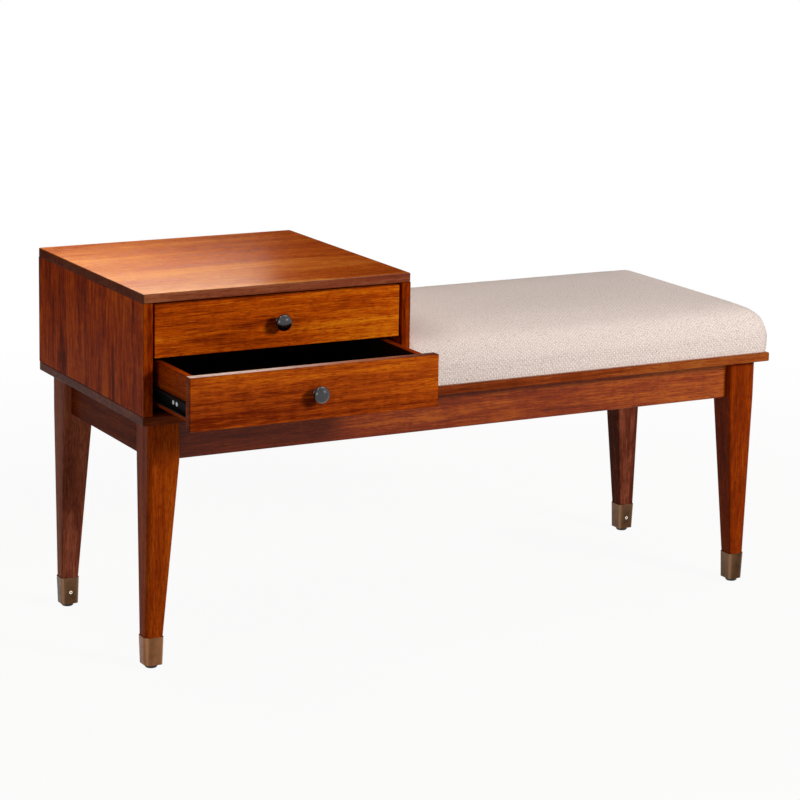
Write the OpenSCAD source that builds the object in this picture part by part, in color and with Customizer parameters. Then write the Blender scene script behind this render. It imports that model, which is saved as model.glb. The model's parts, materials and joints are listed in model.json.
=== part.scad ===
// Storage bench: a deck on four tapered legs carries a case with two drawers at the left and an
// upholstered seat at the right. Millimetres, +Z up, the drawers face -Y.
// The origin is on the floor, under the middle of the bench with its lower drawer standing open.

/* [Deck] */
// Length of the deck board
deck_w = 1168; // [1060:1:1260]
// Depth of the deck board
deck_d = 438; // [415:1:480]
// Thickness of the deck board
deck_t = 14.5; // [12:0.5:22]
// Height of the deck's top above the floor
deck_top_z = 414; // [370:1:450]
// Radius of the corners of the deck and of the case's top board
board_corner_r = 3; // [1:0.5:6]

/* [Case] */
// Width of the drawer case
case_w = 460; // [420:1:500]
// Height of the case above the deck
case_h = 191; // [178:1:220]
// Thickness of the case's top board
case_top_t = 14.5; // [12:0.5:20]
// Thickness of the case's side panels
case_side_t = 15.5; // [12:0.5:20]
// Thickness of the case's back panel
case_back_t = 6; // [4:0.5:10]
// Distance from the case's back edges in to its back panel
case_back_inset = 6; // [3:0.5:12]
// Depth of the grooves that hold the back panel
case_groove_d = 5; // [3:0.5:8]

/* [Drawers] */
// Gap between a drawer front and the case's side panels
front_side_gap = 3.5; // [2:0.1:5]
// Gap above, between and below the drawer fronts
front_gap = 3.3; // [2:0.1:5]
// Thickness of the drawer fronts
front_t = 16; // [12:0.5:20]
// How far a closed drawer front stands back from the case's front edge
front_inset = 2; // [0:0.5:5]
// How far the lower drawer stands open
lower_open = 132; // [0:1:240]
// Space between a closed drawer and the case's back panel
drawer_back_gap = 56; // [30:1:80]
// Thickness of a drawer's sides and back
drawer_side_t = 12; // [10:0.5:15]
// How far a drawer's sides stop below the top edge of its front
drawer_side_drop = 5; // [2:0.1:10]
// Height of a drawer's sides above the lower edge of its front
drawer_side_rise = 8.7; // [5:0.1:12]
// Depth of the housings that join a drawer's sides to its front and back
drawer_housing_d = 4; // [2:0.5:6]
// Thickness of a drawer's bottom panel
drawer_bottom_t = 5; // [3:0.5:8]
// Height of a drawer's bottom panel above the lower edge of its sides
drawer_bottom_rise = 6; // [4:0.5:10]
// Depth of the grooves that hold a drawer's bottom panel
drawer_groove_d = 5; // [3:0.5:7]

/* [Slides] */
// Space that a ball slide fills between a drawer's side and the case
slide_t = 13; // [12.5:0.1:15]
// Distance of the rails from the drawer front and from the drawer's end
rail_setback = 1; // [0.5:0.1:2]
// Height of the rails' middle above the lower edge of the drawer front
rail_rise = 29.7; // [25:0.1:35]
// Thickness of the rails' steel
rail_steel_t = 1.2; // [1:0.1:1.5]
// Height of the rail on the case
case_rail_h = 30; // [28:0.1:32]
// Depth of the channel of the rail on the case
case_rail_d = 10.2; // [9.6:0.1:10.5]
// Height of the rail on the drawer
drawer_rail_h = 20; // [18:0.1:21]
// Depth of the channel of the rail on the drawer
drawer_rail_d = 9.5; // [8.5:0.1:9.7]
// Length of a ball cage
cage_l = 88; // [60:1:100]
// Thickness of the ball cages' steel
cage_steel_t = 0.8; // [0.6:0.1:1]
// Width of a ball cage's two lips
cage_lip_w = 6.4; // [5.5:0.1:6.6]
// How far a ball cage stops short of the rails' ends with its drawer fully open
cage_end_gap = 1; // [0.5:0.5:3]
// Gap between a ball cage and the web of the rail on the case
cage_gap = 0.6; // [0.4:0.1:0.8]
// Balls in one row of a cage
balls_in_row = 5; // [3:1:6]
// Gap between a ball and the rails
ball_gap = 0.3; // [0.2:0.05:0.4]

/* [Knobs] */
// Diameter of a knob's head
knob_d = 27; // [22:0.5:34]
// How far a knob stands out from its drawer front
knob_l = 24; // [20:0.5:30]
// Height of a knob's rim above the drawer front
knob_rim_l = 15.5; // [13:0.5:18]
// Height of the underside of a knob's head above the drawer front
knob_neck_l = 10; // [7:0.5:12]
// Diameter of a knob's neck
knob_neck_d = 9.5; // [8:0.5:12]
// Diameter of a knob's base
knob_base_d = 15; // [13:0.5:18]
// Thickness of a knob's base
knob_base_t = 2.4; // [1.5:0.1:4]
// Depth of the threaded hole in a knob
knob_bore_l = 11; // [8:0.5:13]
// Diameter of the screw that holds a knob
knob_screw_d = 4; // [3:0.5:5]

/* [Legs] */
// Width of a leg at its top
leg_w = 52; // [46:0.5:58]
// Width of a leg at its ferrule
leg_foot_w = 29.3; // [24:0.1:34]
// Distance from the deck's ends in to the legs
leg_inset_x = 16.4; // [10:0.1:25]
// Distance from the deck's front and back edges in to the legs
leg_inset_y = 16.1; // [10:0.1:25]
// Radius of the edge at a leg's outer corner
leg_corner_r = 9; // [5:0.5:12]
// Radius of a leg's other edges
leg_edge_r = 4; // [1:0.5:6]

/* [Aprons] */
// Height of the aprons
apron_h = 64; // [58:1:75]
// Thickness of the aprons
apron_t = 20; // [16:0.5:24]
// How far the aprons stand back from the legs' outer faces
apron_recess = 13; // [8:0.5:16]
// Height of the cross rail under the deck
cross_rail_h = 50; // [44:1:56]
// Thickness of the corner blocks
block_t = 22; // [18:0.5:28]
// Height of the corner blocks
block_h = 48; // [44:1:56]
// Gap between a corner block and its leg
block_gap = 1; // [0.5:0.1:3]

/* [Ferrules and glides] */
// Height of a ferrule
ferrule_h = 45.5; // [35:0.5:60]
// Width of a ferrule at its lower end
ferrule_foot_w = 29.5; // [26:0.1:32]
// Thickness of a ferrule's metal
ferrule_t = 1.4; // [1:0.1:2]
// Height of the pin's middle above a ferrule's lower edge
pin_rise = 20; // [12:0.5:28]
// Diameter of the head of the pin in a ferrule
pin_head_d = 5; // [4:0.5:7]
// Thickness of the head of the pin in a ferrule
pin_head_t = 1.3; // [1:0.1:2]
// Diameter of the pin in a ferrule
pin_d = 1.6; // [1.2:0.1:2.4]
// Length of the pin in a ferrule
pin_l = 12; // [8:0.5:14]
// Diameter of a glide
glide_d = 20; // [16:0.5:24]
// Height of a glide
glide_h = 6; // [4:0.5:10]
// Diameter of a glide's nail
glide_nail_d = 2.6; // [2:0.1:4]
// Length of a glide's nail
glide_nail_l = 20; // [14:0.5:26]

/* [Seat] */
// Gap between the seat and the case
seat_case_gap = 1; // [0.5:0.5:6]
// How far the seat bulges past the deck's edges
seat_bulge = 1; // [0:0.5:4]
// Height of the seat's edge above the deck
seat_edge_h = 84; // [70:1:100]
// Radius of the roll along the seat's upper edges
seat_roll_r = 40; // [25:1:45]
// Height of the crown over the seat's edge
seat_crown = 7; // [2:0.5:14]
// How far the seat's corners sink below its edge
seat_corner_drop = 20; // [6:1:26]
// How far the seat's sides draw in towards the deck
seat_tuck = 3; // [1:0.5:6]
// Radius of the seat's corners
seat_corner_r = 46; // [46:1:60]
// Thickness of the seat's cover with its wadding
cover_t = 1.5; // [1:0.1:3]
// Width of the cover's hem under the seat
cover_hem = 32; // [20:1:50]
// Thickness of the seat's board
seat_board_t = 12; // [9:0.5:18]
// Gap between the foam and its cover
foam_gap = 0.3; // [0.2:0.1:1]

/* [Fasteners] */
// Diameter of the dowels
dowel_d = 8; // [6:0.5:9]
// Depth of the case's dowels in the ends of its side panels
case_dowel_l = 20; // [15:1:30]
// Depth of the aprons' dowels in the legs
leg_dowel_l = 20; // [14:1:22]
// Depth of the aprons' dowels in the aprons and in the cross rail
apron_dowel_l = 22; // [16:1:30]
// Diameter of the bolts that hold the legs to the corner blocks
leg_bolt_d = 8; // [6:0.5:9]
// Depth of a leg bolt in its leg
leg_bolt_bite = 30; // [22:1:34]
// Width across the flats of the leg bolts' nuts
leg_nut_w = 13; // [11:0.5:15]
// Height of the leg bolts' nuts
leg_nut_h = 8; // [6:0.5:10]
// Diameter of the leg nuts' flanges
leg_flange_d = 18; // [16:0.5:20]
// Thickness of the leg nuts' flanges
leg_flange_t = 1.6; // [1:0.1:3]
// Diameter of the wood screws
wood_screw_d = 4; // [3:0.5:5]
// Diameter of the wood screws' heads
wood_screw_head_d = 8; // [7:0.5:9]
// Height of the wood screws' heads
wood_screw_head_h = 2.6; // [2:0.1:3.5]
// Depth of the holes that take the heads of the corner blocks' screws
block_screw_recess = 12; // [8:0.5:20]
// Diameter of the slides' screws
rail_screw_d = 3.5; // [3:0.1:4]
// Diameter of the slides' screw heads
rail_screw_head_d = 6.6; // [6:0.1:7.5]
// Height of the round screw heads in the drawers' rails
rail_screw_head_h = 1.5; // [1:0.1:1.8]
// Distance between the two screws of a corner block, measured along the aprons
block_screw_spread = 36; // [30:1:38]
// Length of a leg bolt past its nut
leg_bolt_end_l = 3; // [1:0.5:6]
// Extra width of the holes that take the heads of the corner blocks' screws
block_recess_gap = 1; // [0.5:0.5:2]
// Clearance around dowels, screws, bolts and pins in their holes
hole_gap = 0.05; // [0.02:0.01:0.1]

/* [Hidden] */

// Names for the two drawers and for the sides
lower = 0;
upper = 1;
left = -1;
right = 1;
front = -1;
rear = 1;

// How far a cut runs past the face that it opens
overrun = 1;
// Depth of a hole past the end of what it holds
hole_relief = 1;
// Depth of a dowel or screw in a board, as a share of the board's thickness
bite_share = 0.7;
// Facets of round pieces
$fn = 32;

// Levels
deck_bottom_z = deck_top_z - deck_t;
apron_bottom_z = deck_bottom_z - apron_h;
ferrule_top_z = glide_h + ferrule_h;

// The middle of the box that holds the whole bench lies over the origin
open_reach = lower_open + knob_l - front_inset;
front_y = -(deck_d - open_reach) / 2;
mid_y = front_y + deck_d / 2;

// The case and what slides in it
opening_w = case_w - 2 * case_side_t;
opening_h = case_h - case_top_t;
case_mid_x = (case_w - deck_w) / 2;
front_w = opening_w - 2 * front_side_gap;
front_h = (opening_h - 3 * front_gap) / 2;
drawer_d = deck_d - front_inset - front_t - case_back_inset - case_back_t - drawer_back_gap;
box_half_w = opening_w / 2 - slide_t;
box_inner_half_w = box_half_w - drawer_side_t;
box_end_y = front_t + drawer_d;
box_top_z = front_h - drawer_side_drop;
bottom_z = drawer_side_rise + drawer_bottom_rise;
rail_y = front_t + rail_setback;
rail_l = drawer_d - 2 * rail_setback;
drawer_travel = rail_l - cage_l - 2 * cage_end_gap;
case_dowel_y_shares = [0.12, 0.5, 0.86];
case_screw_y_shares = [0.1, 0.5, 0.9];
drawer_screw_y_shares = [0.134, 0.171, 0.54, 0.91];

// The cross rail stands under the case's right side panel
cross_rail_x = case_mid_x + (case_w - case_side_t) / 2;

// The balls run midway between the lips of the two rails
ball_v = (drawer_rail_h / 2 + case_rail_h / 2 - rail_steel_t) / 2;
ball_d = case_rail_h / 2 - rail_steel_t - drawer_rail_h / 2 - 2 * ball_gap;
cage_u = rail_steel_t + cage_gap;
ball_u = cage_u + cage_steel_t + cage_lip_w / 2;

// Woodwork colours, metals and cloth
board_wood = [0.62, 0.28, 0.12];
panel_wood = [0.45, 0.16, 0.06];
box_wood = [0.36, 0.17, 0.1];
inner_wood = [0.78, 0.62, 0.42];
black_steel = [0.09, 0.09, 0.1];
bright_steel = [0.75, 0.75, 0.76];
dark_gunmetal = [0.24, 0.24, 0.26];
aged_brass = [0.45, 0.36, 0.22];
black_plastic = [0.06, 0.06, 0.06];
linen = [0.72, 0.66, 0.6];
foam_white = [0.92, 0.9, 0.84];

// Points of a quarter circle round [cx, cy], starting at the angle from
function arc(cx, cy, r, from, steps) =
    [for (i = [0:steps]) [cx + r * cos(from + 90 * i / steps), cy + r * sin(from + 90 * i / steps)]];

// Outline of a rectangle whose corners have the radii [front right, rear right, rear left, front left]
function round_rect(x0, x1, y0, y1, radii, steps) = concat(
    arc(x1 - radii[0], y0 + radii[0], radii[0], -90, steps),
    arc(x1 - radii[1], y1 - radii[1], radii[1], 0, steps),
    arc(x0 + radii[2], y1 - radii[2], radii[2], 90, steps),
    arc(x0 + radii[3], y0 + radii[3], radii[3], 180, steps)
);

function at_height(points, z) = [for (p = points) [p[0], p[1], z]];

// Count points spread evenly between a and b
function between(a, b, count) = [for (i = [1:count]) a + (b - a) * i / (count + 1)];

function mean_point(ring) = [for (axis = [0:2]) [for (p = ring) 1] * [for (p = ring) p[axis]] / len(ring)];

// A closed skin of triangles over rings that follow each other, with a point at either end
module ring_solid(rings, first_point, last_point) {
    count = len(rings[0]);
    last = len(rings) - 1;
    points = concat([for (ring = rings) each ring], [first_point, last_point]);
    first_i = len(points) - 2;
    last_i = len(points) - 1;
    walls = [
        for (j = [0:last - 1]) for (i = [0:count - 1])
            let (n = (i + 1) % count, a = j * count, b = (j + 1) * count)
            each [[a + i, b + i, b + n], [a + i, b + n, a + n]]
    ];
    first_end = [for (i = [0:count - 1]) [first_i, i, (i + 1) % count]];
    last_end = [for (i = [0:count - 1]) [last_i, last * count + (i + 1) % count, last * count + i]];
    polyhedron(points, concat(walls, first_end, last_end));
}

module box(low, high) translate(low) cube(high - low);

// A hole that starts at the origin and runs up, for something round of diameter d
module hole(d, depth) {
    translate([0, 0, -overrun]) cylinder(d = d + 2 * hole_gap, h = depth + hole_relief + overrun);
}

// A screw whose head lies under the origin and whose shank runs up
module pan_screw(d, l, head_d, head_h) {
    cylinder(d = d, h = l);
    translate([0, 0, -head_h]) cylinder(d = head_d, h = head_h);
}

// A screw whose cone head ends flush with the steel of a rail
module flush_screw(l) {
    cylinder(d1 = rail_screw_head_d, d2 = rail_screw_d, h = rail_steel_t);
    cylinder(d = rail_screw_d, h = l);
}

module round_board(x0, x1, y0, y1, z0, t) {
    radii = [board_corner_r, board_corner_r, board_corner_r, board_corner_r];
    translate([0, 0, z0]) linear_extrude(t) polygon(round_rect(x0, x1, y0, y1, radii, 4));
}

// Frames of the case, of a drawer, of the slide beside it and of a corner of the bench
module in_case() translate([case_mid_x, front_y, deck_top_z]) children();

function open_by(level) = level == lower ? lower_open : 0;
function front_z(level) = front_gap + level * (front_h + front_gap);

module in_drawer(level) {
    in_case() translate([0, front_inset - open_by(level), front_z(level)]) children();
}

module in_closed_drawer(level) in_case() translate([0, front_inset, front_z(level)]) children();

module on_side(side) {
    mirror([side == right ? 1 : 0, 0, 0]) translate([-opening_w / 2, 0, 0]) children();
}

module at_corner(side, end) {
    translate([0, mid_y, 0])
    mirror([side == right ? 1 : 0, 0, 0])
    mirror([0, end == rear ? 1 : 0, 0])
    children();
}

module at_corners() {
    for (side = [left, right]) for (end = [front, rear]) at_corner(side, end) children();
}

// Deck and case

module deck_board() {
    color(board_wood)
    difference() {
        round_board(-deck_w / 2, deck_w / 2, front_y, front_y + deck_d, deck_bottom_z, deck_t);
        in_case() case_dowel_holes(0, deck_t * bite_share, case_dowel_l);
        at_corners() block_screw_places() hole(wood_screw_d, block_screw_reach);
        seat_screw_places() hole(wood_screw_d, deck_t + overrun);
    }
}

module case_dowel_places(z) {
    for (side = [left, right]) for (share = case_dowel_y_shares)
        translate([side * (case_w - case_side_t) / 2, share * deck_d, z]) children();
}

// Holes for dowels that cross the level z, that far down and that far up
module case_dowel_holes(z, down, up) {
    case_dowel_places(z) translate([0, 0, -down - hole_relief])
        cylinder(d = dowel_d + 2 * hole_gap, h = down + up + 2 * hole_relief);
}

module case_top() {
    color(board_wood)
    in_case()
    difference() {
        round_board(-case_w / 2, case_w / 2, 0, deck_d, opening_h, case_top_t);
        case_back_panel();
        case_dowel_holes(opening_h, case_dowel_l, case_top_t * bite_share);
    }
}

module case_side(side) {
    color(panel_wood)
    in_case()
    difference() {
        mirror([side == right ? 1 : 0, 0, 0])
        box([-case_w / 2, 0, 0], [-opening_w / 2, deck_d, opening_h]);
        case_back_panel();
        case_dowel_holes(0, deck_t * bite_share, case_dowel_l);
        case_dowel_holes(opening_h, case_dowel_l, case_top_t * bite_share);
        for (level = [lower, upper]) translate([0, front_inset, front_z(level)])
            on_side(side) case_screw_places() hole(rail_screw_d, case_screw_l);
    }
}

module case_back_panel() {
    half_w = opening_w / 2 + case_groove_d;
    back = deck_d - case_back_inset;
    box([-half_w, back - case_back_t, 0], [half_w, back, opening_h + case_groove_d]);
}

module case_back() color(box_wood) in_case() case_back_panel();

module case_dowels() {
    color(inner_wood)
    in_case() {
        case_dowel_places(-deck_t * bite_share)
            cylinder(d = dowel_d, h = deck_t * bite_share + case_dowel_l);
        case_dowel_places(opening_h - case_dowel_l)
            cylinder(d = dowel_d, h = case_top_t * bite_share + case_dowel_l);
    }
}

// Legs and aprons, each drawn at the front left corner around the bench's middle

leg_x = -deck_w / 2 + leg_inset_x;
leg_y = -deck_d / 2 + leg_inset_y;
apron_y = leg_y + apron_recess;
apron_x = leg_x + apron_recess;
apron_mid_z = deck_bottom_z - apron_h / 2;
// Heights of an apron's dowels over its middle, as shares of its height
apron_dowel_shares = [-0.28, 0.28];
foot_z = glide_h + ferrule_t;
foot_draw = (leg_foot_w - ferrule_foot_w) / 2 + ferrule_t;
leg_radii = [leg_edge_r, leg_edge_r, leg_edge_r, leg_corner_r];

// Sections of a leg; the outer end face stays upright and the other three lean in
function leg_ring(z, w, draw, grow) =
    let (
        x0 = leg_x + draw - grow,
        y0 = leg_y + (leg_w - w) / 2 - grow,
        side = w + 2 * grow,
        radii = [for (r = leg_radii) r + grow]
    )
    at_height(round_rect(x0, x0 + side, y0, y0 + side, radii, 4), z);

module leg(side, end) {
    rings = [
        leg_ring(foot_z, leg_foot_w - 2 * foot_draw, foot_draw, 0),
        leg_ring(ferrule_top_z, leg_foot_w, 0, 0),
        leg_ring(apron_bottom_z, leg_w, 0, 0),
        leg_ring(deck_bottom_z, leg_w, 0, 0)
    ];
    color(board_wood)
    at_corner(side, end)
    difference() {
        ring_solid(rings, mean_point(rings[0]), mean_point(rings[3]));
        leg_dowel_places() hole(dowel_d, leg_dowel_l);
        leg_bolt_place() hole(leg_bolt_d, leg_bolt_bite);
        pin_place() hole(pin_d, pin_l);
        glide_place() hole(glide_nail_d, glide_nail_l);
    }
}

// Dowels from the aprons into a leg, pointing into the leg
module leg_dowel_places() {
    for (share = apron_dowel_shares) {
        translate([leg_x + leg_w, apron_y + apron_t / 2, apron_mid_z + share * apron_h])
            rotate([0, -90, 0]) children();
        translate([apron_x + apron_t / 2, leg_y + leg_w, apron_mid_z + share * apron_h])
            rotate([90, 0, 0]) children();
    }
}

// Dowels from the cross rail into the front apron, pointing into the apron
module cross_dowel_places() {
    for (share = apron_dowel_shares)
        translate([cross_rail_x, apron_y + apron_t, apron_mid_z + share * apron_h])
            rotate([90, 0, 0]) children();
}

module long_apron(end) {
    half_l = -leg_x - leg_w;
    color(panel_wood)
    at_corner(left, end)
    difference() {
        box([-half_l, apron_y, apron_bottom_z], [half_l, apron_y + apron_t, deck_bottom_z]);
        for (side = [left, right]) mirror([side == right ? 1 : 0, 0, 0])
            leg_dowel_places() mirror([0, 0, 1]) hole(dowel_d, apron_dowel_l);
        cross_dowel_places() hole(dowel_d, apron_t * bite_share);
    }
}

module end_apron(side) {
    half_l = -leg_y - leg_w;
    color(panel_wood)
    at_corner(side, front)
    difference() {
        box([apron_x, -half_l, apron_bottom_z], [apron_x + apron_t, half_l, deck_bottom_z]);
        for (end = [front, rear]) mirror([0, end == rear ? 1 : 0, 0])
            leg_dowel_places() mirror([0, 0, 1]) hole(dowel_d, apron_dowel_l);
    }
}

module cross_rail() {
    half_l = -apron_y - apron_t;
    color(inner_wood)
    at_corner(left, front)
    difference() {
        translate([cross_rail_x, 0, deck_bottom_z])
            box([-apron_t / 2, -half_l, -cross_rail_h], [apron_t / 2, half_l, 0]);
        for (end = [front, rear]) mirror([0, end == rear ? 1 : 0, 0])
            cross_dowel_places() mirror([0, 0, 1]) hole(dowel_d, apron_dowel_l);
    }
}

module apron_dowels() {
    leg_l = leg_dowel_l + apron_dowel_l;
    cross_l = apron_t * bite_share + apron_dowel_l;
    color(inner_wood) {
        at_corners() leg_dowel_places()
            translate([0, 0, -apron_dowel_l]) cylinder(d = dowel_d, h = leg_l);
        for (end = [front, rear]) at_corner(left, end) cross_dowel_places()
            translate([0, 0, -apron_dowel_l]) cylinder(d = dowel_d, h = cross_l);
    }
}

// The corner block stands across the corner, square to the bench's diagonal at the leg
block_near = leg_x + leg_w + leg_y + leg_w - leg_edge_r * (2 - sqrt(2)) + block_gap * sqrt(2);
block_far = block_near + block_t * sqrt(2);
block_bottom_z = deck_bottom_z - block_h;
block_screw_reach = deck_t * bite_share;

// The point where the leg bolt's line meets a plane at 45 degrees, x + y = sum
function on_bolt_line(sum) =
    let (mid = (sum - leg_x - leg_y) / 2)
    [leg_x + mid, leg_y + mid, apron_mid_z];

// The leg bolt's place at the leg's rounded corner, pointing into the leg
module leg_bolt_place() {
    leg_face = block_near - block_gap * sqrt(2);
    translate(on_bolt_line(leg_face)) rotate([0, 0, 225]) rotate([0, 90, 0]) children();
}

module block_screw_places() {
    mid = on_bolt_line((block_near + block_far) / 2);
    for (way = [-1, 1])
        translate([mid[0], mid[1], deck_bottom_z] + way * block_screw_spread / 2 * [1, -1, 0]) children();
}

module corner_blocks() {
    inner_x = apron_x + apron_t;
    inner_y = apron_y + apron_t;
    outline = [
        [block_near - inner_y, inner_y], [block_far - inner_y, inner_y],
        [inner_x, block_far - inner_x], [inner_x, block_near - inner_x]
    ];
    color(inner_wood)
    at_corners()
    difference() {
        translate([0, 0, block_bottom_z]) linear_extrude(block_h) polygon(outline);
        leg_bolt_place() translate([0, 0, -block_t - block_gap - overrun])
            cylinder(d = leg_bolt_d + 2 * hole_gap, h = block_t + block_gap + 2 * overrun);
        block_screw_places() {
            translate([0, 0, -block_h - overrun])
                cylinder(d = wood_screw_d + 2 * hole_gap, h = block_h + 2 * overrun);
            translate([0, 0, -block_h - overrun])
                cylinder(d = wood_screw_head_d + 2 * block_recess_gap, h = block_screw_recess + overrun);
        }
    }
}

module block_screws() {
    shank_l = block_h - block_screw_recess + block_screw_reach;
    color(bright_steel)
    at_corners() block_screw_places() translate([0, 0, block_screw_recess - block_h])
        pan_screw(wood_screw_d, shank_l, wood_screw_head_d, wood_screw_head_h);
}

module leg_bolts() {
    tail_l = block_gap + block_t + leg_flange_t + leg_nut_h;
    color(bright_steel)
    at_corners() leg_bolt_place() translate([0, 0, -tail_l - leg_bolt_end_l])
        cylinder(d = leg_bolt_d, h = leg_bolt_bite + tail_l + leg_bolt_end_l);
}

module leg_nuts() {
    color(bright_steel)
    at_corners() leg_bolt_place() translate([0, 0, -block_gap - block_t])
    difference() {
        union() {
            translate([0, 0, -leg_flange_t]) cylinder(d = leg_flange_d, h = leg_flange_t);
            translate([0, 0, -leg_flange_t - leg_nut_h])
                cylinder(d = leg_nut_w / cos(30), h = leg_nut_h, $fn = 6);
        }
        translate([0, 0, -leg_flange_t - leg_nut_h - overrun])
            cylinder(d = leg_bolt_d + 2 * hole_gap, h = leg_flange_t + leg_nut_h + 2 * overrun);
    }
}

// Ferrules, pins and glides

foot_mid = [leg_x + leg_foot_w / 2, leg_y + leg_w / 2];
// Height of a glide's sloping edge, as a share of its height
glide_edge_share = 0.25;

// The pin's place on the side of the foot that faces the bench's middle, pointing into the leg
// square to the ferrule's leaning side
module pin_place() {
    lean = foot_draw * (ferrule_h - pin_rise) / ferrule_h;
    translate([foot_mid[0], foot_mid[1] + leg_foot_w / 2 + ferrule_t - lean, glide_h + pin_rise])
        rotate([90 - atan(foot_draw / ferrule_h), 0, 0]) children();
}

module glide_place() translate([foot_mid[0], foot_mid[1], glide_h]) children();

module ferrule(side, end) {
    foot_w = leg_foot_w - 2 * foot_draw;
    rings = [
        leg_ring(glide_h, foot_w, foot_draw, ferrule_t),
        leg_ring(ferrule_top_z, leg_foot_w, 0, ferrule_t),
        leg_ring(ferrule_top_z, leg_foot_w, 0, hole_gap),
        leg_ring(foot_z, foot_w, foot_draw, hole_gap)
    ];
    color(aged_brass)
    at_corner(side, end)
    difference() {
        ring_solid(rings, [foot_mid[0], foot_mid[1], glide_h], [foot_mid[0], foot_mid[1], foot_z]);
        glide_place() hole(glide_nail_d, ferrule_t);
        pin_place() hole(pin_d, 2 * ferrule_t);
    }
}

module ferrule_pins() {
    dome = [for (a = [0:15:90]) [pin_head_d / 2 * cos(a), pin_head_t * sin(a)]];
    color(bright_steel)
    at_corners() pin_place() {
        cylinder(d = pin_d, h = pin_l);
        mirror([0, 0, 1]) rotate_extrude() polygon(concat([[0, 0]], dome));
    }
}

module glides() {
    edge = glide_h * glide_edge_share;
    color(black_plastic)
    at_corners() glide_place() {
        cylinder(d = glide_nail_d, h = glide_nail_l);
        translate([0, 0, -glide_h]) cylinder(d1 = glide_d - 2 * edge, d2 = glide_d, h = edge);
        translate([0, 0, edge - glide_h]) cylinder(d = glide_d, h = glide_h - edge);
    }
}

// Seat, drawn around its own middle on the deck

seat_x0 = case_w - deck_w / 2 + seat_case_gap;
seat_x1 = deck_w / 2 + seat_bulge;
seat_half_w = (seat_x1 - seat_x0) / 2;
seat_half_d = deck_d / 2 + seat_bulge;
seat_side_h = seat_edge_h - seat_roll_r;
foam_bottom_h = cover_t + seat_board_t;
// Share of the tuck that is left at the board's upper face
tuck_share = 0.4;
// Height between the board and the roll where the side is widest, as a share
widest_share = 0.5;
// Angles of the rows along the roll, and the shares by which the rows inside it shrink
roll_angles = [22.5, 45, 67.5, 90];
crown_shares = [0.75, 0.45, 0.2];

module in_seat() translate([(seat_x0 + seat_x1) / 2, mid_y, deck_top_z]) children();

// Outline of the seat, drawn in by inset; the long sides have more points than the short ones
function seat_outline(inset) =
    let (
        cx = seat_half_w - seat_corner_r,
        cy = seat_half_d - seat_corner_r,
        r = seat_corner_r - inset,
        front_right = arc(cx, -cy, r, -90, 5),
        rear_right = arc(cx, cy, r, 0, 5),
        rear_left = arc(-cx, cy, r, 90, 5),
        front_left = arc(-cx, -cy, r, 180, 5)
    )
    concat(
        front_right, between(front_right[5], rear_right[0], 4),
        rear_right, between(rear_right[5], rear_left[0], 6),
        rear_left, between(rear_left[5], front_left[0], 4),
        front_left, between(front_left[5], front_right[0], 6)
    );

// Lift of the seat's skin over the plain roll: the crown in the middle, less the corners' drop
function seat_lift(u, v) =
    seat_crown * (1 - u * u) * (1 - v * v) - seat_corner_drop * pow(abs(u * v), 6);

// A row of a skin that lies by depth inside the seat's surface; the lift grows with the row's height
function seat_row(points, h, depth) =
    let (
        full_share = max(0, (h - foam_bottom_h) / (seat_edge_h - depth - foam_bottom_h)),
        half_w = seat_half_w - depth,
        half_d = seat_half_d - depth
    )
    [for (p = points) [p[0], p[1], h + full_share * seat_lift(p[0] / half_w, p[1] / half_d)]];

// Rows of a skin that lies by depth inside the seat's surface, from the board's face up to the crown
function seat_skin(depth) =
    let (
        roll_r = seat_roll_r - depth,
        widest_h = foam_bottom_h + widest_share * (seat_side_h - foam_bottom_h),
        crown_outline = seat_outline(seat_roll_r)
    )
    concat(
        [
            seat_row(seat_outline(seat_tuck * tuck_share + depth), foam_bottom_h, depth),
            seat_row(seat_outline(depth), widest_h, depth),
            seat_row(seat_outline(depth), seat_side_h, depth)
        ],
        [
            for (a = roll_angles)
                seat_row(seat_outline(seat_roll_r - roll_r * cos(a)), seat_side_h + roll_r * sin(a), depth)
        ],
        [for (share = crown_shares) seat_row(crown_outline * share, seat_edge_h - depth, depth)]
    );

function seat_middle(depth) = [0, 0, seat_edge_h - depth + seat_crown];

function reverse(rows) = [for (i = [len(rows) - 1:-1:0]) rows[i]];

module seat_cover() {
    rings = concat(
        reverse(seat_skin(cover_t)),
        [
            at_height(seat_outline(seat_tuck + cover_t), cover_t),
            at_height(seat_outline(cover_hem), cover_t),
            at_height(seat_outline(cover_hem), 0),
            at_height(seat_outline(seat_tuck), 0)
        ],
        seat_skin(0)
    );
    color(linen) in_seat() ring_solid(rings, seat_middle(cover_t), seat_middle(0));
}

module seat_foam() {
    rings = seat_skin(cover_t + foam_gap);
    color(foam_white) in_seat() mirror([1, 0, 0])
        ring_solid(rings, [0, 0, foam_bottom_h], seat_middle(cover_t + foam_gap));
}

module seat_board() {
    color(inner_wood)
    difference() {
        in_seat() translate([0, 0, cover_t]) linear_extrude(seat_board_t)
            polygon(seat_outline(seat_tuck + cover_t + foam_gap));
        seat_screw_places() hole(wood_screw_d, seat_screw_l);
    }
}

seat_screw_x_shares = [-0.6, 0, 0.6];
seat_screw_y_shares = [-0.5, 0.5];
seat_screw_l = deck_t + cover_t + seat_board_t * bite_share;

// The seat's screws stand in two rows and point up from the deck's underside
module seat_screw_places() {
    for (x_share = seat_screw_x_shares) for (y_share = seat_screw_y_shares)
        in_seat() translate([x_share * seat_half_w, y_share * seat_half_d, -deck_t]) children();
}

module seat_screws() {
    color(bright_steel)
    seat_screw_places() pan_screw(wood_screw_d, seat_screw_l, wood_screw_head_d, wood_screw_head_h);
}

// Slides; x runs from the case's side panel to the drawer and z from the rails' middle

// Places along a rail, at shares of its length, pointing to the case's side panel
module case_screw_places() {
    for (share = case_screw_y_shares)
        translate([rail_steel_t, rail_y + share * rail_l, rail_rise]) rotate([0, -90, 0]) children();
}

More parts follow.
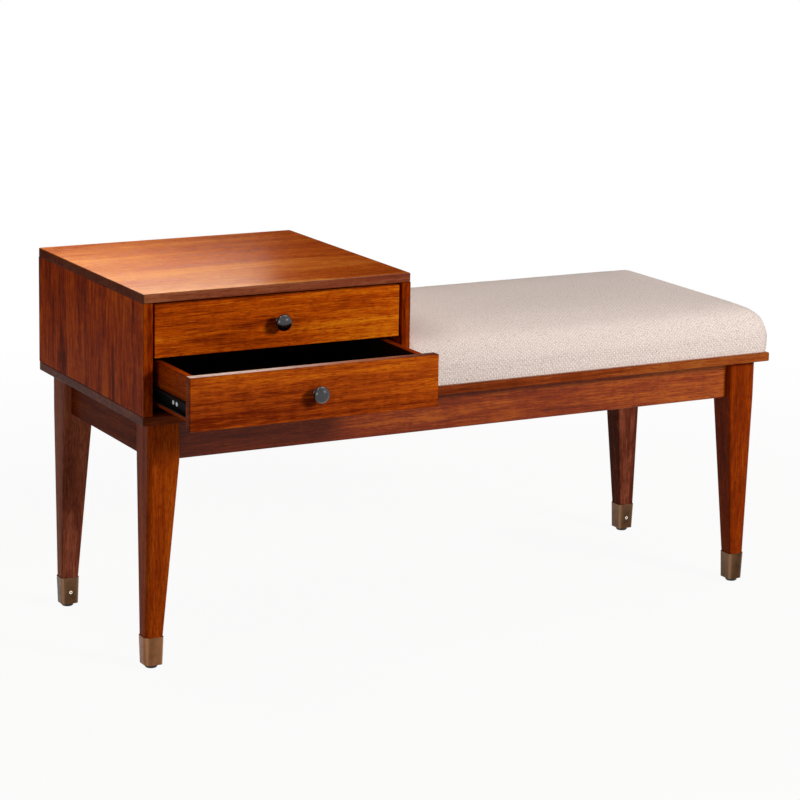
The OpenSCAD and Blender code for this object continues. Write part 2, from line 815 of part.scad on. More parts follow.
// The same on the drawer's rail, pointing to the drawer's side
module drawer_screw_places() {
    for (share = drawer_screw_y_shares)
        translate([slide_t - rail_steel_t, rail_y + share * rail_l, rail_rise]) rotate([0, 90, 0]) children();
}

case_screw_l = rail_steel_t + case_side_t * bite_share;
drawer_screw_l = rail_steel_t + drawer_side_t * bite_share;

module case_rail(level, side) {
    lip = case_rail_h / 2 - rail_steel_t;
    color(black_steel)
    in_closed_drawer(level) on_side(side)
    difference() {
        box(
            [0, rail_y, rail_rise - case_rail_h / 2],
            [case_rail_d, rail_y + rail_l, rail_rise + case_rail_h / 2]
        );
        box(
            [rail_steel_t, rail_y - overrun, rail_rise - lip],
            [case_rail_d + overrun, rail_y + rail_l + overrun, rail_rise + lip]
        );
        case_screw_places() cylinder(
            d1 = rail_screw_head_d + 2 * hole_gap, d2 = rail_screw_d + 2 * hole_gap, h = rail_steel_t
        );
    }
}

module case_rail_screws() {
    color(bright_steel)
    for (level = [lower, upper]) for (side = [left, right])
        in_closed_drawer(level) on_side(side) case_screw_places() flush_screw(case_screw_l);
}

module drawer_rail(level, side) {
    lip = drawer_rail_h / 2 - rail_steel_t;
    web_x = slide_t - rail_steel_t;
    color(black_steel)
    in_drawer(level) on_side(side)
    difference() {
        box(
            [slide_t - drawer_rail_d, rail_y, rail_rise - drawer_rail_h / 2],
            [slide_t, rail_y + rail_l, rail_rise + drawer_rail_h / 2]
        );
        box(
            [slide_t - drawer_rail_d - overrun, rail_y - overrun, rail_rise - lip],
            [web_x, rail_y + rail_l + overrun, rail_rise + lip]
        );
        drawer_screw_places() hole(rail_screw_d, rail_steel_t);
    }
}

module drawer_rail_screws(level) {
    color(bright_steel)
    for (side = [left, right]) in_drawer(level) on_side(side) drawer_screw_places()
        pan_screw(rail_screw_d, drawer_screw_l, rail_screw_head_d, rail_screw_head_h);
}

// A cage moves half as far as its drawer, so it starts in the rails' middle
cage_y = rail_y + drawer_travel / 2 + cage_end_gap;

module in_cage(level) {
    in_closed_drawer(level) translate([0, cage_y - open_by(level) / 2, rail_rise]) children();
}

module ball_places() {
    for (way = [-1, 1]) for (i = [1:balls_in_row])
        translate([ball_u, (i - 0.5) * cage_l / balls_in_row, way * ball_v]) children();
}

module ball_cages(level) {
    outer = ball_v + cage_steel_t / 2;
    inner = ball_v - cage_steel_t / 2;
    end_u = cage_u + cage_steel_t + cage_lip_w;
    color(bright_steel)
    in_cage(level) for (side = [left, right]) on_side(side)
    difference() {
        box([cage_u, 0, -outer], [end_u, cage_l, outer]);
        box([cage_u + cage_steel_t, -overrun, -inner], [end_u + overrun, cage_l + overrun, inner]);
        ball_places() translate([0, 0, -cage_steel_t]) cylinder(d = ball_d + ball_gap, h = 2 * cage_steel_t);
    }
}

module balls(level) {
    color(bright_steel)
    in_cage(level) for (side = [left, right]) on_side(side) ball_places() sphere(d = ball_d);
}

// Drawers; x = 0 is the drawer's middle, y = 0 its front's face, z = 0 its front's lower edge

module side_panel(side) {
    mirror([side == right ? 1 : 0, 0, 0])
    box(
        [-box_half_w, front_t - drawer_housing_d, drawer_side_rise],
        [-box_inner_half_w, box_end_y, box_top_z]
    );
}

module back_panel() {
    half_w = box_inner_half_w + drawer_housing_d;
    box([-half_w, box_end_y - drawer_side_t, drawer_side_rise], [half_w, box_end_y, box_top_z]);
}

module bottom_panel() {
    half_w = box_inner_half_w + drawer_groove_d;
    box(
        [-half_w, front_t - drawer_groove_d, bottom_z],
        [half_w, box_end_y - drawer_side_t + drawer_groove_d, bottom_z + drawer_bottom_t]
    );
}

module knob_place() translate([0, 0, front_h / 2]) rotate([90, 0, 0]) children();

module drawer_front(level) {
    color(board_wood)
    in_drawer(level)
    difference() {
        box([-front_w / 2, 0, 0], [front_w / 2, front_t, front_h]);
        side_panel(left);
        side_panel(right);
        bottom_panel();
        knob_place() translate([0, 0, -front_t - overrun])
            cylinder(d = knob_screw_d + 2 * hole_gap, h = front_t + 2 * overrun);
    }
}

module drawer_side(level, side) {
    color(box_wood)
    in_drawer(level)
    difference() {
        side_panel(side);
        back_panel();
        bottom_panel();
        on_side(side) drawer_screw_places() hole(rail_screw_d, drawer_screw_l);
    }
}

module drawer_back(level) {
    color(box_wood)
    in_drawer(level)
    difference() {
        back_panel();
        bottom_panel();
    }
}

module drawer_bottom(level) color(box_wood) in_drawer(level) bottom_panel();

module knob(level) {
    dome = [
        for (a = [0:15:90])
            [knob_d / 2 * cos(a), knob_rim_l + (knob_l - knob_rim_l) * sin(a)]
    ];
    profile = concat(
        [
            [0, 0], [knob_base_d / 2, 0], [knob_base_d / 2, knob_base_t],
            [knob_neck_d / 2, knob_base_t + (knob_base_d - knob_neck_d) / 2],
            [knob_neck_d / 2, knob_neck_l]
        ],
        dome
    );
    color(dark_gunmetal)
    in_drawer(level) knob_place()
    difference() {
        rotate_extrude($fn = 48) polygon(profile);
        hole(knob_screw_d, knob_bore_l);
    }
}

module knob_screw(level) {
    color(bright_steel)
    in_drawer(level) knob_place() translate([0, 0, -front_t])
        pan_screw(knob_screw_d, front_t + knob_bore_l, wood_screw_head_d, wood_screw_head_h);
}

deck_board();
case_top();
case_side(left);  // case_side_left
case_side(right);  // case_side_right
case_back();
case_dowels();
long_apron(front);  // apron_front
long_apron(rear);  // apron_rear
end_apron(left);  // apron_left
end_apron(right);  // apron_right
apron_dowels();
cross_rail();
corner_blocks();
block_screws();
leg_bolts();
leg_nuts();
leg(left, front);  // leg_front_left
leg(right, front);  // leg_front_right
leg(left, rear);  // leg_rear_left
leg(right, rear);  // leg_rear_right
ferrule(left, front);  // ferrule_front_left
ferrule(right, front);  // ferrule_front_right
ferrule(left, rear);  // ferrule_rear_left
ferrule(right, rear);  // ferrule_rear_right
ferrule_pins();
glides();
seat_board();
seat_foam();
seat_cover();
seat_screws();
case_rail(upper, left);  // upper_case_rail_left
case_rail(upper, right);  // upper_case_rail_right
case_rail(lower, left);  // lower_case_rail_left
case_rail(lower, right);  // lower_case_rail_right
case_rail_screws();
drawer_front(upper);  // upper_drawer_front
drawer_side(upper, left);  // upper_drawer_side_left
drawer_side(upper, right);  // upper_drawer_side_right
drawer_back(upper);  // upper_drawer_back
drawer_bottom(upper);  // upper_drawer_bottom
knob(upper);  // upper_knob
knob_screw(upper);  // upper_knob_screw
drawer_rail(upper, left);  // upper_drawer_rail_left
drawer_rail(upper, right);  // upper_drawer_rail_right
drawer_rail_screws(upper);  // upper_drawer_rail_screws
ball_cages(upper);  // upper_ball_cages
balls(upper);  // upper_balls
drawer_front(lower);  // lower_drawer_front
drawer_side(lower, left);  // lower_drawer_side_left
drawer_side(lower, right);  // lower_drawer_side_right
drawer_back(lower);  // lower_drawer_back
drawer_bottom(lower);  // lower_drawer_bottom
knob(lower);  // lower_knob
knob_screw(lower);  // lower_knob_screw
drawer_rail(lower, left);  // lower_drawer_rail_left
drawer_rail(lower, right);  // lower_drawer_rail_right
drawer_rail_screws(lower);  // lower_drawer_rail_screws
ball_cages(lower);  // lower_ball_cages
balls(lower);  // lower_balls
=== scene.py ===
import json
import math

import bmesh
import bpy
from mathutils import Matrix, Vector

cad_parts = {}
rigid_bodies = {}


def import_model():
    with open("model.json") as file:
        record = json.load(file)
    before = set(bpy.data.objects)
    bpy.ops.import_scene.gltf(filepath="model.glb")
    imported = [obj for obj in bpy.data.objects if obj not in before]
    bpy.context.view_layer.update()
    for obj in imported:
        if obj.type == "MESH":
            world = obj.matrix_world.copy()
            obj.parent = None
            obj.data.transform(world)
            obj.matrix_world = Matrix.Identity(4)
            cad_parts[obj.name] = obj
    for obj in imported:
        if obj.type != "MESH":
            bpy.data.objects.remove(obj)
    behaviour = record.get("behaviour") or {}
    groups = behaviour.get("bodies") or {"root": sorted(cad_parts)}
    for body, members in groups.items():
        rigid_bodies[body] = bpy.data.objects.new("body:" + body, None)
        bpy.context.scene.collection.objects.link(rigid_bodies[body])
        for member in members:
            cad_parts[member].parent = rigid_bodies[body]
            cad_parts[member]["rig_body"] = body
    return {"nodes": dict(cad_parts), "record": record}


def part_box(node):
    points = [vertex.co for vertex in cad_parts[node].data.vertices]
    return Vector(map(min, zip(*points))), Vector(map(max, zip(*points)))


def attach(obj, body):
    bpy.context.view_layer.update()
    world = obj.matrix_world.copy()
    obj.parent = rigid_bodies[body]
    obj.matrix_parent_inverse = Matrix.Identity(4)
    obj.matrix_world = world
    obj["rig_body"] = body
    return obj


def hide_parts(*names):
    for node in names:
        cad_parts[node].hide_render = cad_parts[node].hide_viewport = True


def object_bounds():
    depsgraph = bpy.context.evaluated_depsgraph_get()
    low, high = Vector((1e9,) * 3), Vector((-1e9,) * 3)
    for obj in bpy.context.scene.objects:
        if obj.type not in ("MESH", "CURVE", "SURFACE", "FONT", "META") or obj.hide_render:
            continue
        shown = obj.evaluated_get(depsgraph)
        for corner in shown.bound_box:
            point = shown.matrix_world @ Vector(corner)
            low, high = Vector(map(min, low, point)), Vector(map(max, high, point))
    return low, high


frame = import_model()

cadLow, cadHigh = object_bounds()
nodes = frame["nodes"]
mm = 0.001
weld = 0.01 * mm  # points closer than this are one point
print("frame loaded:", len(nodes), "nodes")


# small helpers


def hexToLinear(text):
    parts = [int(text[i:i + 2], 16) / 255 for i in (1, 3, 5)]
    return tuple(p / 12.92 if p <= 0.04045 else ((p + 0.055) / 1.055) ** 2.4 for p in parts) + (1.0,)


def addNode(tree, kind, settings=None, values=None, links=None):
    node = tree.nodes.new(kind)
    for name, value in (settings or {}).items():
        setattr(node, name, value)
    for socket, value in (values or {}).items():
        node.inputs[socket].default_value = value
    for socket, source in (links or {}).items():
        tree.links.new(source, node.inputs[socket])
    return node


def emptyMaterial(name):
    material = bpy.data.materials.new(name)
    material.use_nodes = True
    material.node_tree.nodes.clear()
    return material, material.node_tree


def startMaterial(name, surface):
    material, tree = emptyMaterial(name)
    shader = addNode(tree, "ShaderNodeBsdfPrincipled", values=surface)
    addNode(tree, "ShaderNodeOutputMaterial", links={"Surface": shader.outputs["BSDF"]})
    return material, tree, shader


def setRamp(ramp, stops):
    elements = ramp.color_ramp.elements
    while len(elements) < len(stops):
        elements.new(0.5)
    for element, (place, colour) in zip(elements, stops):
        element.position = place
        element.color = colour


def placeMesh(solid, name):
    mesh = bpy.data.meshes.new(name)
    solid.to_mesh(mesh)
    solid.free()
    piece = bpy.data.objects.new(name, mesh)
    bpy.context.scene.collection.objects.link(piece)
    return piece


def finishPiece(solid, name, material, body, replaced, smoothAngle):
    piece = placeMesh(solid, name)
    piece.data.shade_smooth()
    piece.data.set_sharp_from_angle(angle=math.radians(smoothAngle))
    piece.data.materials.append(material)
    even = piece.modifiers.new("evenNormals", "WEIGHTED_NORMAL")
    even.keep_sharp = True
    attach(piece, body)
    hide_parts(replaced)
    return piece


# camera, fitted to the corners of the boards in the photograph

cameraLook = {
    "place": (-2.1907, -3.9008, 1.4049),
    "yaw": 0.4988,
    "pitch": 0.1943,
    "roll": 0.0187,
    "sensor": 36,
    "lens": 123.67,
    "shiftY": -0.125,
}


def makeCamera(look):
    data = bpy.data.cameras.new("benchCamera")
    data.sensor_width = look["sensor"]
    data.lens = look["lens"]
    data.shift_y = look["shiftY"]
    camera = bpy.data.objects.new("benchCamera", data)
    bpy.context.scene.collection.objects.link(camera)
    camera.matrix_world = (
        Matrix.Translation(look["place"])
        @ Matrix.Rotation(-look["yaw"], 4, "Z")
        @ Matrix.Rotation(math.pi / 2 - look["pitch"], 4, "X")
        @ Matrix.Rotation(look["roll"], 4, "Z")
    )
    bpy.context.scene.camera = camera


makeCamera(cameraLook)
bpy.context.scene.view_settings.view_transform = "Standard"


# lamps

softboxes = {
    # the big key is kept out of reflections, which would burn out on lacquer seen from behind, and
    # the glint stands in for it there
    "frontRight": {
        "place": (1.85, -3.2, 1.95), "aim": (0, 0, 0.4), "size": (1.2, 1.0), "spread": 180,
        "watts": 76, "tint": "#fffaf6", "mirrored": False,
    },
    "frontGlint": {
        "place": (1.85, -3.2, 1.95), "aim": (0, 0, 0.4), "size": (0.6, 0.5), "spread": 180,
        "watts": 47, "tint": "#fffaf6", "mirrored": True,
    },
    "leftFill": {
        "place": (-3.6, -2.0, 1.3), "aim": (0, 0, 0.4), "size": (1.6, 1.6), "spread": 180,
        "watts": 22, "tint": "#fffbf8", "mirrored": True,
    },
    "overCase": {
        "place": (-0.61, 0.16, 1.14), "aim": (-0.59, 0.13, 0.6), "size": (0.4, 0.4), "spread": 120,
        "watts": 2.0, "tint": "#fff3e6", "mirrored": True,
    },
    "overSeat": {
        "place": (0.9, 0.2, 3.0), "aim": (0.5, 0, 0.4), "size": (1.8, 1.4), "spread": 180,
        "watts": 18, "tint": "#fff3ea", "mirrored": True,
    },
    "behindLeft": {
        "place": (-0.03, 1.1, 1.04), "aim": (-0.55, -0.1, 0.6), "size": (0.46, 0.14), "spread": 60,
        "watts": 0.2, "tint": "#ffe9d6", "mirrored": True,
    },
}


def makeSoftbox(name, look):
    data = bpy.data.lights.new(name, "AREA")
    data.shape = "RECTANGLE"
    data.size, data.size_y = look["size"]
    data.spread = math.radians(look["spread"])
    data.energy = look["watts"]
    data.color = hexToLinear(look["tint"])[:3]
    lamp = bpy.data.objects.new(name, data)
    bpy.context.scene.collection.objects.link(lamp)
    lamp.location = look["place"]
    aim = Vector(look["aim"]) - Vector(look["place"])
    lamp.rotation_euler = aim.to_track_quat("-Z", "Y").to_euler()
    lamp.visible_camera = False
    lamp.visible_glossy = look["mirrored"]


for softboxName, softboxLook in softboxes.items():
    makeSoftbox(softboxName, softboxLook)


# world and floor

studioLook = {
    "worldLevel": 0.09,
    "worldTint": "#fdf8f4",
    "floorRadius": 60,
    "floorSides": 96,
    "paperTint": "#c9c6c3",
    "studioTint": "#3c3a38",  # the grey floor of the room around the paper, which the camera never sees
    "paperFrom": 1.7,
    "paperTo": 2.9,
    "whiteNear": 0.94,  # share of plain white that the camera sees in the floor close to the bench
    "whiteFrom": 0.8,
    "whiteTo": 2.4,
}


def whiteRays(tree):
    # the rays that meet plain white: from the camera, off gloss, and through glass
    path = addNode(tree, "ShaderNodeLightPath")
    share = path.outputs["Is Camera Ray"]
    for kind in ("Is Glossy Ray", "Is Transmission Ray"):
        share = addNode(
            tree, "ShaderNodeMath", {"operation": "MAXIMUM"}, links={0: share, 1: path.outputs[kind]},
        ).outputs[0]
    return share


def makeWorld(look):
    world = bpy.data.worlds.new("studioWorld")
    bpy.context.scene.world = world
    world.use_nodes = True
    tree = world.node_tree
    tree.nodes.clear()
    soft = addNode(
        tree, "ShaderNodeBackground",
        values={"Color": hexToLinear(look["worldTint"]), "Strength": look["worldLevel"]},
    )
    white = addNode(tree, "ShaderNodeBackground", values={"Color": (1, 1, 1, 1), "Strength": 1})
    mix = addNode(
        tree, "ShaderNodeMixShader", links={0: whiteRays(tree), 1: soft.outputs[0], 2: white.outputs[0]},
    )
    addNode(tree, "ShaderNodeOutputWorld", links={"Surface": mix.outputs[0]})


def makePaper(look):
    # matt paper sweep: pale where light falls on it, plain white further off, and open from below
    material, tree = emptyMaterial("mattPaperSweep")
    coords = addNode(tree, "ShaderNodeTexCoord")
    distance = addNode(
        tree, "ShaderNodeVectorMath", {"operation": "LENGTH"}, links={0: coords.outputs["Object"]},
    ).outputs["Value"]
    share = addNode(
        tree, "ShaderNodeMapRange", {"interpolation_type": "SMOOTHSTEP"},
        {"From Min": look["whiteFrom"], "From Max": look["whiteTo"], "To Min": look["whiteNear"], "To Max": 1.0},
        {"Value": distance},
    )
    seen = addNode(
        tree, "ShaderNodeMath", {"operation": "MULTIPLY"}, links={0: share.outputs[0], 1: whiteRays(tree)},
    )
    beyond = addNode(
        tree, "ShaderNodeMapRange", {"interpolation_type": "SMOOTHSTEP"},
        {"From Min": look["paperFrom"], "From Max": look["paperTo"]}, {"Value": distance},
    )
    tint = addNode(
        tree, "ShaderNodeMix", {"data_type": "RGBA"},
        {6: hexToLinear(look["paperTint"]), 7: hexToLinear(look["studioTint"])}, {0: beyond.outputs[0]},
    )
    paper = addNode(tree, "ShaderNodeBsdfDiffuse", links={"Color": tint.outputs[2]})
    white = addNode(tree, "ShaderNodeEmission", values={"Color": (1, 1, 1, 1), "Strength": 1})
    lit = addNode(
        tree, "ShaderNodeMixShader", links={0: seen.outputs[0], 1: paper.outputs[0], 2: white.outputs[0]},
    )
    side = addNode(tree, "ShaderNodeNewGeometry")
    clear = addNode(tree, "ShaderNodeBsdfTransparent")
    both = addNode(
        tree, "ShaderNodeMixShader",
        links={0: side.outputs["Backfacing"], 1: lit.outputs[0], 2: clear.outputs[0]},
    )
    addNode(tree, "ShaderNodeOutputMaterial", links={"Surface": both.outputs[0]})
    return material


def makeFloor(look):
    solid = bmesh.new()
    bmesh.ops.create_circle(solid, cap_ends=True, segments=look["floorSides"], radius=look["floorRadius"])
    floor = placeMesh(solid, "studioFloor")
    floor.data.materials.append(makePaper(look))


makeWorld(studioLook)
makeFloor(studioLook)


# a black felt flag behind the bench, which only reflections show, keeps the white horizon from
# washing out the lacquered tops

flagLook = {"width": 5.1, "height": 3.0, "middle": (1.05, 2.3, 1.5), "tint": "#0b0b0c"}


def makeFlag(look):
    solid = bmesh.new()
    bmesh.ops.create_grid(solid, x_segments=1, y_segments=1, size=0.5)
    upright = Matrix.Translation(look["middle"]) @ Matrix.Rotation(math.pi / 2, 4, "X")
    size = Matrix.Diagonal((look["width"], look["height"], 1, 1))
    bmesh.ops.transform(solid, matrix=upright @ size, verts=solid.verts)
    flag = placeMesh(solid, "feltFlag")
    material, tree = emptyMaterial("blackFelt")
    felt = addNode(tree, "ShaderNodeBsdfDiffuse", values={"Color": hexToLinear(look["tint"])})
    addNode(tree, "ShaderNodeOutputMaterial", links={"Surface": felt.outputs[0]})
    flag.data.materials.append(material)
    flag.visible_camera = flag.visible_diffuse = flag.visible_transmission = flag.visible_shadow = False


makeFlag(flagLook)
print("studio ready")


# stained and lacquered wood

grainTurns = {"X": (0, 0, 0), "Y": (0, 0, -math.pi / 2), "Z": (0, math.pi / 2, 0)}
axisArrows = {"X": (1, 0, 0), "Y": (0, 1, 0), "Z": (0, 0, 1)}

grainLook = {
    "shares": {"figure": 0.5, "bands": 0.34, "fibre": 0.55, "rings": 0.06, "ripple": 0.13},
    "spread": 1.9,  # stretches the sum of the layers over the ramp
    "rings": {"Scale": 22, "Distortion": 5.5, "Detail": 3, "Detail Scale": 0.8, "Detail Roughness": 0.6},
    "ringTilt": (0, 0.03, 0.05),
    "ringStretch": (0.12, 1, 1),
    "poreFrom": 0.34,
    "poreTo": 0.47,
    "poreShare": 0.5,
    "endTint": (0.45, 0.36, 0.32, 1),
    "narrowShadeTint": (0.42, 0.36, 0.4, 1),
    "edgeTint": (0.3, 0.24, 0.24, 1),
    "edgeShare": 0.7,
    "relief": {"Strength": 0.25, "Distance": 0.12 * mm},
}

# what a wood has where its own row says nothing else
woodBase = {
    "axis": "X",  # the grain's direction
    "contrast": 1.0,
    "drift": 0,  # how much paler a board grows for each metre of x, and the x of its middle tone
    "middle": 0,
    "endShade": 0.5,
    "flat": "Z",  # the way that a board's broad faces look
    "narrowPaintedShade": 0,
    "roughness": (0.32, 0.4),
    "specular": 0.01,  # low on upright boards, which mirror a white room
    "streak": 6.0,  # width in millimetres
}

# lacquered hardwood, wiped with a red-brown stain: streaks along the grain, dark pores, a soft satin shine
woodLooks = {
    # the top board grows paler towards its left end: painted light, where more light falls on it
    "satinTopBoard": {
        "dark": "#8f380c", "mid": "#b85614", "light": "#e0903a", "contrast": 0.9, "drift": -0.66,
        "middle": -0.29, "endShade": 1.0, "narrowPaintedShade": 0.92, "roughness": (0.16, 0.21), "specular": 0.3,
        "streak": 4.5, "place": (0.3, 0.11, 0.07),
    },
    # the top board's edges, with a thinner coat that hardly shines, and paler towards the left like the top, as
    # painted light
    "satinTopEdge": {
        "dark": "#8d3f26", "mid": "#b7603c", "light": "#dc8e5a", "contrast": 0.9, "drift": -0.7,
        "middle": -0.29, "endShade": 1.0, "narrowPaintedShade": 0.92, "roughness": (0.3, 0.4),
        "streak": 4.5, "place": (0.3, 0.11, 0.07),
    },
    "satinDeckBoard": {
        "dark": "#7c330f", "mid": "#b0521f", "light": "#cf7a34", "contrast": 1.2, "drift": 0.45,
        "narrowPaintedShade": 0.68, "roughness": (0.26, 0.34), "specular": 0.03,
        "streak": 5.5, "place": (0.3, 0.11, 0.07),
    },
    "satinUpperFront": {
        "dark": "#6a1f02", "mid": "#b84c06", "light": "#de7c10", "contrast": 1.2, "drift": 0.35,
        "middle": -0.36, "flat": "Y", "narrowPaintedShade": 0.2, "roughness": (0.3, 0.36),
        "streak": 4.2, "place": (2.2, 0.41, 0.62),
    },
    "satinLowerFront": {
        "dark": "#641d05", "mid": "#aa480e", "light": "#d06c10", "contrast": 1.15, "drift": 0.4,
        "middle": -0.38, "flat": "Y", "narrowPaintedShade": 0.2, "roughness": (0.3, 0.36),
        "streak": 4.2, "place": (2.9, 0.17, 0.83),
    },
    "satinSidePanel": {
        "axis": "Z", "dark": "#541600", "mid": "#a23803", "light": "#c85a06", "contrast": 1.35,
        "flat": "X", "narrowPaintedShade": 0.6, "streak": 15.0, "place": (0.4, 0.83, 1.31),
    },
    "satinApronLong": {
        "dark": "#551a05", "mid": "#82300a", "light": "#b05818", "contrast": 1.1, "drift": 0.4,
        "middle": 0.1, "flat": "Y", "narrowPaintedShade": 0.2, "specular": 0.2, "place": (2.4, 0.21, 0.93),
    },
    # the aprons at the ends: a much darker copy of the apron stain, as painted shade
    "endApronPaintedShade": {
        "axis": "Y", "dark": "#3a0f00", "mid": "#5e1d00", "light": "#7e3406",
        "flat": "X", "narrowPaintedShade": 0.2, "roughness": (0.34, 0.42), "place": (0.9, 0.61, 0.17),
    },
    "satinLeg": {
        "axis": "Z", "dark": "#541904", "mid": "#883104", "light": "#ac4e0a", "drift": -0.22,
        "specular": 0.02, "place": (0.2, 1.13, 0.47),
    },
    # the rear legs: a duller copy of the leg stain, lower in tone, as painted shade under the bench
    "rearLegPaintedShade": {
        "axis": "Z", "dark": "#562619", "mid": "#914e37", "light": "#ac6648", "drift": -0.22,
        "middle": -0.53, "roughness": (0.3, 0.38), "place": (0.7, 0.63, 0.27),
    },
    "stainedBoxShort": {
        "axis": "Y", "dark": "#501600", "mid": "#903000", "light": "#b04e08", "endShade": 0.4,
        "flat": "X", "narrowPaintedShade": 0.2, "roughness": (0.48, 0.6), "specular": 0.02,
        "streak": 4.0, "place": (1.1, 0.77, 0.57),
    },
    # the inside of a drawer, nearly black: painted shade, a darkened copy of the stain
    "boxInsidePaintedShade": {
        "dark": "#0c0302", "mid": "#180704", "light": "#260d06", "endShade": 0.4,
        "roughness": (0.55, 0.68), "specular": 0.05, "streak": 4.0, "place": (0.6, 0.35, 1.77),
    },
    # the case's back panel, plywood with a thin coat of the same stain
    "stainedPlyBack": {
        "axis": "Z", "dark": "#4a1a08", "mid": "#7c3612", "light": "#98501f", "contrast": 1.2,
        "endShade": 0.2, "flat": "Y", "narrowPaintedShade": 0.2, "roughness": (0.45, 0.58), "specular": 0.2,
        "streak": 12.0, "place": (0.7, 0.25, 1.27),
    },
    # the lower front's top edge: a painted highlight along its lacquer, palest towards its left end
    "lipPaintedHighlight": {
        "dark": "#5c230c", "mid": "#a87462", "light": "#f0dcd2", "contrast": 0.6, "drift": -2.3,
        "middle": -0.3, "endShade": 0, "roughness": (0.2, 0.3), "specular": 0.5,
        "streak": 4.0, "place": (0.6, 0.35, 0.77),
    },
    "plainSawnPine": {
        "dark": "#a9855a", "mid": "#c8a67a", "light": "#dcc29b", "endShade": 0.2,
        "roughness": (0.6, 0.75), "specular": 0.3, "streak": 5.0, "place": (0.5, 0.9, 0.2),
    },
}


